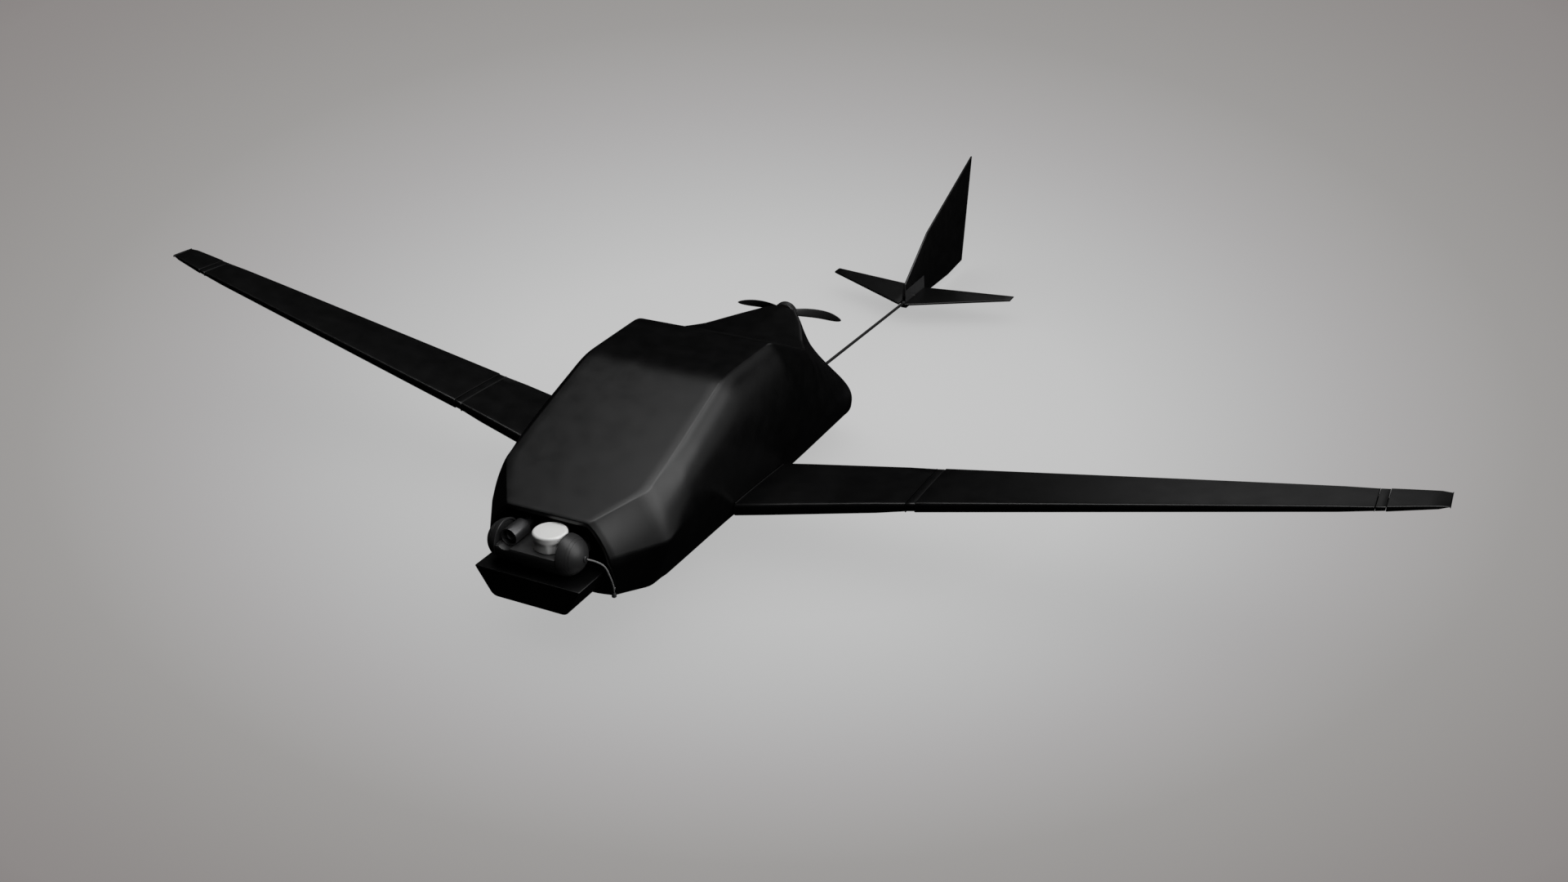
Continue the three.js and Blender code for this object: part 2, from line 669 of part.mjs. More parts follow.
function wingMiddle() {
  const panel = wingPanel(INNER_BAND[1], OUTER_BAND[0]);
  return cut(
    panel,
    tongue(INNER_BAND[1] - 5, INNER_BAND[1] + TONGUE_DEPTH, INNER_TONGUE, GAP),
    tongue(OUTER_BAND[0] - 18, OUTER_BAND[0] + 5, OUTER_TONGUE, GAP),
  );
}

function wingTip() {
  const panel = wingPanel(OUTER_BAND[1], HALF_SPAN);
  return cut(panel, tongue(OUTER_BAND[1] - 5, OUTER_BAND[1] + 18, OUTER_TONGUE, GAP));
}

const innerJoiner = () => joiner(INNER_BAND, INNER_TONGUE, BAND_DEPTH, 24, TONGUE_DEPTH);
const outerJoiner = () => joiner(OUTER_BAND, OUTER_TONGUE, 0.6, 18, 18);

// ---------------------------------------------------------------- tail
const boomHeight = (y) => BOOM_REAR_Z + BOOM_SLOPE * (y - BOOM_REAR);

// A round rod along the boom's line between two stations.
function boomRod(radius, from, to) {
  const rings = [from, to].map((y) =>
    Array.from({ length: COARSE }, (_, i) => {
      const turn = (i / COARSE) * 2 * Math.PI;
      return [radius * Math.cos(turn), y, boomHeight(y) + radius * Math.sin(turn)];
    }),
  );
  return loft(rings, 0, 2);
}

const tailBoom = () =>
  cut(boomRod(BOOM_R, BOOM_FRONT, BOOM_REAR), boomRod(BOOM_BORE_R, BOOM_FRONT - 5, BOOM_REAR + 5));

// A clamp block on the belly pan's floor holds the front of the boom.
function boomSocket() {
  const body = block(26, 40, 42, 0, BOOM_FRONT + 22, FLOOR + 21);
  return cut(body, boomRod(BOOM_R + 0.15, BOOM_FRONT - 10, BOOM_FRONT + 60));
}

function tailBlock() {
  const { front, back, low, high, lowHalf, highHalf } = BLOCK;
  const wedge = (y) => [
    [-lowHalf, y, low],
    [lowHalf, y, low],
    [highHalf, y, high],
    [-highHalf, y, high],
  ];
  const slotWall = 1.4;
  const slot = block(FIN_THICK + 2 * GAP, back - front, 60, 0, (front + back) / 2 + slotWall, 38 + 30);
  const crest = block(20, back - front, 60, 0, (front + back) / 2 + slotWall, 43.5 + 30);
  const well = block(3.9, 42, 12.5, 0, front + 20, 29.4);
  const bore = rod("x", PIVOT_R + RUN, -10, 10, TAIL_PIVOT_Y, TAIL_Z);
  const collar = boomRod(COLLAR.radius, COLLAR.front, front + 1);
  const socket = boomRod(BOOM_R + 0.15, COLLAR.front - 5, COLLAR.bottom);
  const rodWay = boomRod(BOOM_BORE_R, COLLAR.front - 5, front + 2);
  return cut(join(loft([wedge(front), wedge(back)], 0, 2), collar), slot, crest, well, bore, socket, rodWay);
}

// The fin stands in the block's slot and reaches down behind the block.
function fin() {
  const outline = new THREE.Shape(
    [
      [652, 53],
      [732, 106],
      [909, 173],
      [887, 14],
      [827, 10],
      [760, 12],
      [722.6, 15.5],
      [722.6, 38.4],
      [652, 38.4],
    ].map(([y, z]) => new THREE.Vector2(y, z)),
  );
  const bevel = 0.8;
  const plate = new THREE.ExtrudeGeometry(outline, {
    depth: FIN_THICK - 2 * bevel,
    bevelThickness: bevel,
    bevelSize: bevel,
    bevelOffset: -bevel,
    bevelSegments: 1,
  });
  // The outline's axes turn into Y and Z, and its depth into X.
  const turn = new THREE.Matrix4().set(0, 0, 1, -FIN_THICK / 2 + bevel, 1, 0, 0, 0, 0, 1, 0, 0, 0, 0, 0, 1);
  return outward(plate.applyMatrix4(turn));
}

const PIVOT_R = 0.8;
const PIVOT_END = 16;
const TAIL_FULLNESS = 4;

function stabiliserHalf() {
  const { root, tip, thick, rise } = STABILISER;
  const inner = { ...root, thick, middle: TAIL_Z };
  const outer = { ...tip, thick: thick * 0.8, middle: TAIL_Z + rise };
  const plate = loft([foil(root.x, inner, TAIL_FULLNESS), foil(tip.x, outer, TAIL_FULLNESS)], 1, 2);
  return cut(plate, rod("x", PIVOT_R + 0.15, 0, PIVOT_END + 0.5, TAIL_PIVOT_Y, TAIL_Z));
}

// The pivot rod of one half with the crank on its inner end, inside the tail block.
function stabiliserCrank() {
  const pivot = rod("x", PIVOT_R, 0.4, PIVOT_END, TAIL_PIVOT_Y, TAIL_Z);
  const arm = block(1.2, 2.6, CRANK_ARM + 1.2, 1, TAIL_PIVOT_Y, TAIL_Z + (CRANK_ARM + 1.2) / 2);
  return join(pivot, arm);
}

const SERVO = { y: 133, z: 30, arm: 12 };
const PUSHROD = { r: 0.45, x: 0.65, front: SERVO.y + 1.9, back: TAIL_PIVOT_Y - 1.9 };

// A wire inside the boom, bent up behind it to the crank's end.
function pushrod() {
  const { x, front, back, r } = PUSHROD;
  const high = TAIL_Z + CRANK_ARM;
  const inBoom = [front, 300, 500, 622, 640, 650].map((y) => [x, y, boomHeight(y)]);
  return tube([...inBoom, [x, 664, (BOOM_REAR_Z + high) / 2], [x, back, high]], r, 30, 6);
}

// ---------------------------------------------------------------- equipment
const STAND_TOP = 19;
const servo = () => block(12, 23, 21, 12.2, SERVO.y + 7, STAND_TOP + GAP + 10.5);
const servoStand = () => block(38, 27, STAND_TOP - FLOOR, 0, SERVO.y + 7, (STAND_TOP + FLOOR) / 2);

function servoArm() {
  const disc = rod("x", 3.4, 2.8, 5.8, SERVO.y, SERVO.z);
  const arm = block(1.4, 3, SERVO.arm + 1, 3.5, SERVO.y, SERVO.z + (SERVO.arm + 1) / 2);
  const pin = block(3.8, 2, 2, 2.3, SERVO.y, SERVO.z + SERVO.arm);
  return join(disc, arm, pin);
}

const FLOOR = WALL + GAP;
const BATTERY = { width: 64, length: 106, height: 36, y: -53 };
const TRAY_FLOOR = 1.4;
function batteryTray() {
  const { width, length, y } = BATTERY;
  const outer = block(width + 6, length + 8, 8, 0, y, FLOOR + 4);
  return cut(outer, block(width + 2, length + 4, 10, 0, y, FLOOR + TRAY_FLOOR + 5));
}

function battery() {
  const { width, length, height, y } = BATTERY;
  return block(width, length, height, 0, y, FLOOR + TRAY_FLOOR + GAP + height / 2);
}
const flightController = () => block(50, 68, 16, 0, 62, FLOOR + 8);
const speedController = () => block(24, 48, 9, 29, 186, FLOOR + 4.5);
const radioReceiver = () => block(22, 36, 12, -29, 180, FLOOR + 6);

// Motor cable from the speed controller up to the motor mount.
const MOTOR_CABLE = [
  [29, 210.6, 8],
  [31, 217, 9],
  [33, 225, 20],
  [32, 231, 45],
  [26, 235, 75],
  [17, 238, 105],
  [9, 240, 128],
  [6, 243, 138],
  [5.4, 245.4, 140.5],
];
const motorCable = () => tube(MOTOR_CABLE, 1.6, 34);

// ---------------------------------------------------------------- assembly
const aeroplane = new THREE.Group();
aeroplane.name = "survey_aeroplane";

function add(name, geometry, look) {
  const mesh = new THREE.Mesh(geometry, look);
  mesh.name = name;
  aeroplane.add(mesh);
}

function addPair(name, geometry, look) {
  add(`${name}_left`, geometry, look);
  add(`${name}_right`, mirrored(geometry), look);
}

add("fuselage_shell", fuselageShell(), HULL_BLACK);
add("belly_pan", bellyPan(), HULL_BLACK);
add("nose_bulkhead", noseBulkhead(), FOAM_BLACK);
add("chin_tray", chinTray(), HULL_BLACK);

add("dome_left", dome(LEFT_DOME), NYLON);
add("dome_right", mirrored(dome(RIGHT_DOME)), NYLON);
add("dome_face_left", domeFace(LEFT_DOME), NYLON);
add("dome_face_right", mirrored(domeFace(RIGHT_DOME)), NYLON);
add("dome_arm_left", gimbalArm(LEFT_DOME), NYLON);
add("dome_arm_right", mirrored(gimbalArm(RIGHT_DOME)), NYLON);
add("gimbal_drum", gimbalDrum(), NYLON);
add("tilt_motor", tiltMotor(), DARK_METAL);
add("camera_barrel", cameraBarrel(), DARK_METAL);
add("camera_rear_tube", cameraRear(), DARK_METAL);
add("camera_lens", cameraLens(), GLASS);
add("puck_sensor", sensorPuck(), SATIN_WHITE);
add("signal_lead", signalLead(), LEAD_GREY);
add("lead_hub", leadHub(), LEAD_GREY);
add("lead_gland", leadGland(), NYLON);

add("motor_mount", motorMount(), STEEL);
add("motor_stator", motorStator(), COPPER);
add("motor_bell", motorBell(), DARK_METAL);
add("propeller", propeller(), NYLON);
add("propeller_nut", propellerNut(), STEEL);

add("wing_spar", sparRod(SPAR_R, -SPAR_END, SPAR_END), CARBON);
addPair("wing_root", wingRoot(), FOAM_BLACK);
addPair("wing_joiner", innerJoiner(), NYLON);
addPair("wing_middle", wingMiddle(), FOAM_BLACK);
addPair("tip_joiner", outerJoiner(), NYLON);
addPair("wing_tip", wingTip(), FOAM_BLACK);

add("tail_boom", tailBoom(), CARBON);
add("boom_socket", boomSocket(), NYLON);
add("tail_block", tailBlock(), NYLON);
add("fin", fin(), FOAM_BLACK);
addPair("stabiliser", stabiliserHalf(), FOAM_BLACK);
addPair("stabiliser_crank", stabiliserCrank(), STEEL);
addPair("pushrod", pushrod(), STEEL);
add("servo_stand", servoStand(), NYLON);
addPair("tail_servo", servo(), NYLON);
addPair("servo_arm", servoArm(), NYLON);

add("battery_tray", batteryTray(), NYLON);
add("battery", battery(), CELL);
add("flight_controller", flightController(), BOARD);
add("speed_controller", speedController(), BOARD);
add("radio_receiver", radioReceiver(), BOARD);
add("motor_cable", motorCable(), NYLON);

export default aeroplane;
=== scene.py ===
import json
import math

import bmesh
import bpy
from mathutils import Matrix, Vector


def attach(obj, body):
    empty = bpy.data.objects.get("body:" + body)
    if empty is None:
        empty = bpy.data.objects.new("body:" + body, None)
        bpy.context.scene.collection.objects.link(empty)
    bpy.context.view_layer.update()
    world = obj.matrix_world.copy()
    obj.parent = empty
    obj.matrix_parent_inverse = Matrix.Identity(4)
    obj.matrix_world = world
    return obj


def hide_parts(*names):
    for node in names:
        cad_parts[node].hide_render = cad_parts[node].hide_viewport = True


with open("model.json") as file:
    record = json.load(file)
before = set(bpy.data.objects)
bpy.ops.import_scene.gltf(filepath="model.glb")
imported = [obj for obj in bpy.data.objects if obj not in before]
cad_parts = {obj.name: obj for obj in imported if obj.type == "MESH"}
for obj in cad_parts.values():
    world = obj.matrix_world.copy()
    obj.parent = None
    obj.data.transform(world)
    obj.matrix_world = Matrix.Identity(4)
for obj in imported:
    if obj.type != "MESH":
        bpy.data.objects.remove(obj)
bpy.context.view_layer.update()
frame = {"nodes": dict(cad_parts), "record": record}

NODES = frame["nodes"]
MM = 0.001


# ---------------------------------------------------------------- camera
CAMERA_PLACE = (0.74244, -1.24597, 0.81113)
CAMERA_AZIMUTH = 26.191
CAMERA_ELEVATION = 26.328
CAMERA_ROLL = -0.14


def add_camera():
    data = bpy.data.cameras.new("camera")
    data.lens = 35
    data.sensor_width = 36
    data.clip_end = 200
    camera = bpy.data.objects.new("camera", data)
    bpy.context.collection.objects.link(camera)
    turn = Matrix.Rotation(math.radians(CAMERA_AZIMUTH), 4, "Z")
    tilt = Matrix.Rotation(math.radians(90 - CAMERA_ELEVATION), 4, "X")
    roll = Matrix.Rotation(math.radians(CAMERA_ROLL), 4, "Z")
    camera.matrix_world = Matrix.Translation(CAMERA_PLACE) @ turn @ tilt @ roll
    bpy.context.scene.camera = camera


add_camera()


# ---------------------------------------------------------------- materials
def node_material(name):
    made = bpy.data.materials.new(name)
    made.use_nodes = True
    shader = made.node_tree.nodes["Principled BSDF"]
    return made, made.node_tree, shader


def noise(tree, scale, detail=2.0, stretch=(1, 1, 1)):
    """A noise in the object's own metres."""
    place = tree.nodes.new("ShaderNodeTexCoord")
    mapping = tree.nodes.new("ShaderNodeMapping")
    mapping.inputs["Scale"].default_value = stretch
    texture = tree.nodes.new("ShaderNodeTexNoise")
    texture.inputs["Scale"].default_value = scale
    texture.inputs["Detail"].default_value = detail
    tree.links.new(place.outputs["Object"], mapping.inputs["Vector"])
    tree.links.new(mapping.outputs["Vector"], texture.inputs["Vector"])
    return texture.outputs["Fac"]


def ramp(tree, value, low, high):
    """Turns a 0 to 1 value into a colour or a grey between low and high."""
    made = tree.nodes.new("ShaderNodeValToRGB")
    for element, colour in zip(made.color_ramp.elements, (low, high)):
        rgb = (colour,) * 3 if isinstance(colour, float) else colour
        element.color = (*rgb, 1)
    made.color_ramp.elements[0].position = 0.3
    made.color_ramp.elements[1].position = 0.7
    tree.links.new(value, made.inputs["Fac"])
    return made.outputs["Color"]


def bump(tree, shader, height, distance):
    made = tree.nodes.new("ShaderNodeBump")
    made.inputs["Distance"].default_value = distance
    tree.links.new(height, made.inputs["Height"])
    tree.links.new(made.outputs["Normal"], shader.inputs["Normal"])


def satin(name, colour, roughness, grain, depth, spread=0.25, metallic=0.0, stretch=(1, 1, 1)):
    """A moulded or machined surface: a fine grain in its relief, and slow changes of tone and gloss."""
    made, tree, shader = node_material(name)
    shader.inputs["Metallic"].default_value = metallic
    slow = noise(tree, 14.0, 3.0)
    pale = tuple(min(1.0, c * (1 + spread)) for c in colour)
    deep = tuple(c * (1 - spread) for c in colour)
    tree.links.new(ramp(tree, slow, deep, pale), shader.inputs["Base Color"])
    wear = noise(tree, 55.0, 4.0)
    rough = ramp(tree, wear, max(0.02, roughness - 0.03), min(1.0, roughness + 0.03))
    tree.links.new(rough, shader.inputs["Roughness"])
    bump(tree, shader, noise(tree, grain, 2.0, stretch), depth)
    return made


def carbon(name):
    """Wrapped carbon under lacquer: fine spiral bands along the tube."""
    made, tree, shader = node_material(name)
    place = tree.nodes.new("ShaderNodeTexCoord")
    wave = tree.nodes.new("ShaderNodeTexWave")
    wave.bands_direction = "DIAGONAL"
    wave.inputs["Scale"].default_value = 260.0
    wave.inputs["Distortion"].default_value = 0.4
    tree.links.new(place.outputs["Object"], wave.inputs["Vector"])
    tree.links.new(ramp(tree, wave.outputs["Fac"], 0.004, 0.016), shader.inputs["Base Color"])
    shader.inputs["Roughness"].default_value = 0.36
    shader.inputs["Coat Weight"].default_value = 0.3
    shader.inputs["Coat Roughness"].default_value = 0.15
    bump(tree, shader, wave.outputs["Fac"], 0.00003)
    return made


def lens_coating(name):
    """Dark glass whose colour turns a faint violet at a glancing angle: a painted sheen for the coating's
    reflection.
    """
    made, tree, shader = node_material(name)
    facing = tree.nodes.new("ShaderNodeLayerWeight")
    facing.inputs["Blend"].default_value = 0.35
    # Painted sheen: the base colour lightens to violet where the surface turns away from the view.
    painted_coating_sheen = ramp(tree, facing.outputs["Facing"], (0.002, 0.002, 0.003), (0.012, 0.009, 0.02))
    tree.links.new(painted_coating_sheen, shader.inputs["Base Color"])
    shader.inputs["Roughness"].default_value = 0.06
    shader.inputs["Coat Weight"].default_value = 0.6
    return made


def board(name):
    """A boxed circuit board: plain green solder resist with faint copper runs."""
    made, tree, shader = node_material(name)
    place = tree.nodes.new("ShaderNodeTexCoord")
    runs = tree.nodes.new("ShaderNodeTexBrick")
    runs.inputs["Scale"].default_value = 260.0
    runs.inputs["Color1"].default_value = (0.012, 0.07, 0.03, 1)
    runs.inputs["Color2"].default_value = (0.015, 0.09, 0.04, 1)
    runs.inputs["Mortar"].default_value = (0.03, 0.13, 0.05, 1)
    tree.links.new(place.outputs["Object"], runs.inputs["Vector"])
    tree.links.new(runs.outputs["Color"], shader.inputs["Base Color"])
    shader.inputs["Roughness"].default_value = 0.45
    bump(tree, shader, noise(tree, 900.0), 0.00004)
    return made


BLACK = (0.0007, 0.0007, 0.0008)
LOOKS = {
    "hull_black": satin("hull skin", BLACK, 0.31, 1500.0, 0.000008),
    "foam_black": satin("moulded foam skin", BLACK, 0.33, 1200.0, 0.000009),
    "nylon_black": satin("glass-filled nylon", (0.020, 0.020, 0.0204), 0.42, 1800.0, 0.000014),
    "dark_metal": satin(
        "dark anodised metal", (0.11, 0.11, 0.113), 0.32, 700.0, 0.000008, metallic=0.85, stretch=(1, 12, 1)
    ),
    "bare_aluminium": satin("turned aluminium", (0.28, 0.28, 0.29), 0.3, 600.0, 0.00001, metallic=1.0),
    "winding": satin("enamelled winding", (0.30, 0.10, 0.035), 0.35, 500.0, 0.00008, metallic=0.6),
    "lens_glass": lens_coating("coated lens"),
    "satin_white": satin("satin white moulding", (0.70, 0.70, 0.69), 0.42, 1400.0, 0.00001, spread=0.03),
    "lead_grey": satin("grey silicone", (0.16, 0.16, 0.16), 0.5, 1200.0, 0.00001, spread=0.1),
    "cable_black": satin("black silicone", (0.006, 0.006, 0.006), 0.5, 1200.0, 0.00001),
    "carbon_tube": carbon("wrapped carbon"),
    "steel_wire": satin(
        "drawn steel", (0.25, 0.25, 0.26), 0.28, 900.0, 0.000006, metallic=1.0, stretch=(1, 0.05, 1)
    ),
    "battery_wrap": satin("shrink wrap", (0.02, 0.03, 0.05), 0.35, 160.0, 0.0001),
    "circuit_board": board("circuit board"),
}
SLOT_OF = {row["node"]: row["material_slot"] for row in frame["record"]["subparts"]}


# ---------------------------------------------------------------- mesh tools
SHARP = math.radians(28)


def new_piece(name, points, faces, body, nodes=(), slot="hull_black", sharp=SHARP):
    """A mesh piece from millimetres, smooth except along edges sharper than the limit."""
    mesh = bpy.data.meshes.new(name)
    mesh.from_pydata([Vector(p) * MM for p in points], [], faces)
    tidy(mesh, sharp)
    piece = bpy.data.objects.new(name, mesh)
    bpy.context.collection.objects.link(piece)
    mesh.materials.append(LOOKS[slot])
    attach(piece, body)
    if nodes:
        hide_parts(*nodes)
    return piece


def tidy(mesh, sharp=SHARP):
    """Joins doubled points, turns the faces outward and marks the sharp edges."""
    work = bmesh.new()
    work.from_mesh(mesh)
    bmesh.ops.remove_doubles(work, verts=work.verts, dist=2e-7)
    bmesh.ops.dissolve_degenerate(work, edges=work.edges, dist=1e-7)
    bmesh.ops.recalc_face_normals(work, faces=work.faces)
    for face in work.faces:
        face.smooth = True
    for edge in work.edges:
        if len(edge.link_faces) == 2:
            edge.smooth = edge.calc_face_angle(0) < sharp
    work.to_mesh(mesh)
    work.free()
    mesh.update()


def skin(rings):
    """Points and faces of a closed skin through rings of one size, in order."""
    size = len(rings[0])
    points = [p for ring in rings for p in ring]
    faces = []
    for near in range(0, len(points) - size, size):
        for i in range(size):
            j = (i + 1) % size
            faces.append((near + i, near + j, near + size + j, near + size + i))
    faces.append(tuple(reversed(range(size))))
    faces.append(tuple(range(len(points) - size, len(points))))
    return points, faces


def joined(*parts):
    """Several sets of points and faces as one."""
    points, faces = [], []
    for more_points, more_faces in parts:
        start = len(points)
        points += list(more_points)
        faces += [tuple(start + i for i in face) for face in more_faces]
    return points, faces


def mirrored(part):
    points, faces = part
    return [(-x, y, z) for x, y, z in points], [tuple(reversed(face)) for face in faces]


SIDES = (("left", lambda part: part), ("right", mirrored))


def turned(profile, axis, centre, sides=96):
    """A closed body of revolution. The profile is (radius, height) pairs round it, or from axis to axis."""
    rings = []
    for k in range(sides):
        angle = 2 * math.pi * k / sides
        ring = []
        for radius, height in profile:
            u, v = radius * math.cos(angle), radius * math.sin(angle)
            offset = {"x": (height, u, v), "y": (u, height, v), "z": (u, v, height)}[axis]
            ring.append(tuple(c + o for c, o in zip(centre, offset)))
        rings.append(ring)
    size = len(profile)
    points = [p for ring in rings for p in ring]
    faces = []
    closed = profile[0][0] > 0 or profile[-1][0] > 0
    for k in range(sides):
        for i in range(size if closed else size - 1):
            j = (i + 1) % size
            near, far = k * size, ((k + 1) % sides) * size
            faces.append((near + i, near + j, far + j, far + i))
    return points, faces


def block(low, high):
    """A plain box between two corners."""
    x0, y0, z0 = low
    x1, y1, z1 = high
    return skin([[(x0, y0, z), (x1, y0, z), (x1, y1, z), (x0, y1, z)] for z in (z0, z1)])


def modified(piece, kind, **settings):
    """Applies one modifier to a piece and keeps its looks."""
    made = piece.modifiers.new(kind.lower(), kind)
    for key, value in settings.items():
        setattr(made, key, value)
    bpy.context.view_layer.update()
    graph = bpy.context.evaluated_depsgraph_get()
    mesh = bpy.data.meshes.new_from_object(piece.evaluated_get(graph))
    piece.modifiers.remove(made)
    old = piece.data
    piece.data = mesh
    bpy.data.meshes.remove(old)


def carve(piece, tool):
    """Cuts a closed set of points and faces out of a piece."""
    mesh = bpy.data.meshes.new("tool")
    mesh.from_pydata([Vector(p) * MM for p in tool[0]], [], tool[1])
    tidy(mesh)
    cutter = bpy.data.objects.new("tool", mesh)
    bpy.context.collection.objects.link(cutter)
    modified(piece, "BOOLEAN", operation="DIFFERENCE", solver="EXACT", object=cutter)
    bpy.data.objects.remove(cutter)
    tidy(piece.data)


def soften(piece, width, segments=3, angle=30.0):
    """Rounds a piece's sharp edges by a width in millimetres."""
    modified(
        piece,
        "BEVEL",
        width=width * MM,
        segments=segments,
        limit_method="ANGLE",
        angle_limit=math.radians(angle),
        harden_normals=False,
    )
    tidy(piece.data)


# ---------------------------------------------------------------- hull
# Each station gives the deck's centre height, the top edge, the lower edge and the belly's flat edge. The
# flank is a facet pair over a chine at the nose and a curve behind it. round mixes the two, and swell shapes
# the curve: how far out and down it leaves the top edge, then its lower pull.
WALL = 3.0
NOSE_Y = -235.0
NOSE_CHINE_Z = 87.0
NOSE_RAKE = 1 / 3
PYLON_BACK = 259.0
SPLIT_Z = 36.0
SPLIT_GAP = 0.15
BARREL_SWELL = (36, 18, 101, 66)
NOSE_SWELL = (16, 3, 80, 76)


def station(y, crown, edge, low, keel, swell=BARREL_SWELL, chine=None, round=1.0):
    return dict(y=y, crown=crown, edge=edge, low=low, keel=keel, swell=swell, chine=chine, round=round)


HULL = [
    station(NOSE_Y, 126, (45, 126), (61, 45), (40, 41), NOSE_SWELL, (69.5, NOSE_CHINE_Z), 0.7),
    station(-184, 143, (80.5, 143), (79, 40), (46, 27), chine=(101, 94), round=0.2),
    station(-165, 149.7, (80, 149.7), (78, 38), (46, 18), chine=(102, 100), round=0.5),
    station(-140, 158.5, (80, 158.5), (78, 37), (46, 8), chine=(103, 109), round=0.85),
    station(-110, 169.1, (79.5, 169.1), (78, 36), (46, 0)),
    station(-31, 197, (78, 197), (79, 35), (46, 0), (37, 20, 103, 65)),
    station(20, 197.3, (79, 197.3), (81, 34.5), (46, 0), (37, 20, 105, 65)),
    station(69, 197.6, (80, 197.6), (83, 34), (46, 0), (36, 20, 106, 65)),
    station(110, 179.1, (81, 178.2), (83.5, 34), (46, 0), (25, 18, 105, 68)),
    station(157, 157, (79, 155.5), (84, 34), (46, 0), (16, 14, 103, 74)),
    station(184, 155.4, (62, 153.2), (84, 34), (46, 0), (22, 18, 107, 79)),
    station(211, 155.2, (49, 153.4), (84, 34), (46, 0), (21, 38, 109, 82)),
    station(231, 155.6, (38.5, 153.8), (84, 34), (46, 0), (18, 54, 112, 82)),
    station(246, 156.4, (28, 154.8), (84, 34), (46, 0), (16, 66, 115, 86)),
    station(PYLON_BACK, 157.8, (18.5, 156), (84, 34), (46, 1), (15, 75, 118, 89)),
    station(PYLON_BACK + 2, 70, (20, 69), (84, 34), (46, 1), (40, -5, 108, 64)),
    station(272, 66, (20, 65), (82, 33), (45, 3), (38, -4, 98, 60)),
    station(285, 57, (20, 56), (74, 31), (42, 8), (32, -2, 86, 50)),
    station(294, 45, (18, 44), (60, 28), (36, 14), (22, -1, 64, 40)),
]
EDGE_ROUND = 1.3
DECK_FRONT = 150
DECK_ROUND = 4.0
FLANK_START = 0.018
FLANK_END = 0.965
LOW_ROUND = 5
KEEL_ROUND = 6
CROWN_STEPS = 8
FLANK_STEPS = 44
BELLY_STEPS = 5
CORNER_STEPS = 4


def cubic(a, b, c, d, t):
    return a * (1 - t) ** 3 + 3 * b * t * (1 - t) ** 2 + 3 * c * t * t * (1 - t) + d * t**3


def mix(a, b, t):
    return tuple(p + (q - p) * t for p, q in zip(a, b))


def flank_point(s, t):
    out, drop, low_x, low_z = s["swell"]
    (ex, ez), (lx, lz) = s["edge"], s["low"]
    curve = (cubic(ex, ex + out, low_x, lx, t), cubic(ez, ez - drop, low_z, lz, t))
    if s["chine"] is None:
        return curve
    facet = mix(s["edge"], s["chine"], 2 * t) if t < 0.5 else mix(s["chine"], s["low"], 2 * t - 1)
    return mix(facet, curve, s["round"])


def rounded(before, corner, after):
    """A small curve round a corner, without its two ends."""
    made = []
    for k in range(1, CORNER_STEPS):
        t = k / CORNER_STEPS
        made.append(mix(mix(before, corner, t), mix(corner, after, t), t))
    return made


def toward(a, b, distance):
    return mix(a, b, min(0.45, distance / math.dist(a, b)))


def half_outline(s):
    """Half of a station's outline, from the top centre to the bottom centre, its corners rounded."""
    crown, edge, low, keel = (0, s["crown"]), s["edge"], s["low"], s["keel"]
    belly = (0, keel[1])
    reach = FLANK_END - FLANK_START
    flank = [flank_point(s, FLANK_START + reach * k / FLANK_STEPS) for k in range(FLANK_STEPS + 1)]
    deck_end = toward(edge, crown, EDGE_ROUND if s["y"] < DECK_FRONT else DECK_ROUND)
    line = [mix(crown, deck_end, k / CROWN_STEPS) for k in range(CROWN_STEPS + 1)]
    line += rounded(deck_end, edge, flank[0]) + flank
    low_end = toward(low, keel, LOW_ROUND)
    keel_start, keel_end = toward(keel, low, KEEL_ROUND), toward(keel, belly, KEEL_ROUND)
    line += rounded(flank[-1], low, low_end)
    line += [mix(low_end, keel_start, k / BELLY_STEPS) for k in range(BELLY_STEPS + 1)]
    line += rounded(keel_start, keel, keel_end)
    line += [mix(keel_end, belly, k / BELLY_STEPS) for k in range(BELLY_STEPS + 1)]
    return line


def inset(half, wall):
    """The half outline moved inward by a wall."""
    made = []
    for i, (x, z) in enumerate(half):
        if i in (0, len(half) - 1):
            made.append((0, z - wall if i == 0 else z + wall))
            continue
        before, after = Vector(half[i - 1]), Vector(half[i + 1])
        along = (after - before).normalized()
        normal = Vector((along.y, -along.x))
        made.append((max(0.2, x + normal.x * wall), z + normal.y * wall))
    return made


def nose_rake(z):
    return max(0.0, NOSE_CHINE_Z - z) * NOSE_RAKE


def full_ring(half, place):
    """Both halves of an outline as points. place gives y from z."""
    whole = half + [(-x, z) for x, z in reversed(half[1:-1])]
    return [(x, place(z), z) for x, z in whole]


def station_ring(s, wall=0.0, shift=0.0):
    half = half_outline(s)
    if wall:
        half = inset(half, wall)
    if s["y"] == NOSE_Y:
        return full_ring(half, lambda z: NOSE_Y + shift + nose_rake(z))
    return full_ring(half, lambda z: s["y"] + shift)


def ring_at(rings, y):
    """The ring at a nominal station y, straight between the two next to it."""
    y = min(max(y, HULL[0]["y"]), HULL[-1]["y"])
    after = next((i for i, s in enumerate(HULL) if s["y"] >= y), len(HULL) - 1)
    after = max(1, after)
    a, b = HULL[after - 1]["y"], HULL[after]["y"]
    t = (y - a) / (b - a)
    return [mix(p, q, t) for p, q in zip(rings[after - 1], rings[after])]


def crease_reach(y):
    """How far along the hull a crease is rounded: softest at the deck's front, tight near the ends."""
    if y < -200:
        return 2.0
    if -60 < y < 0:
        return 14.0
    if y < 140:
        return 7.0
    return 2.0 if y < 235 else 0.6


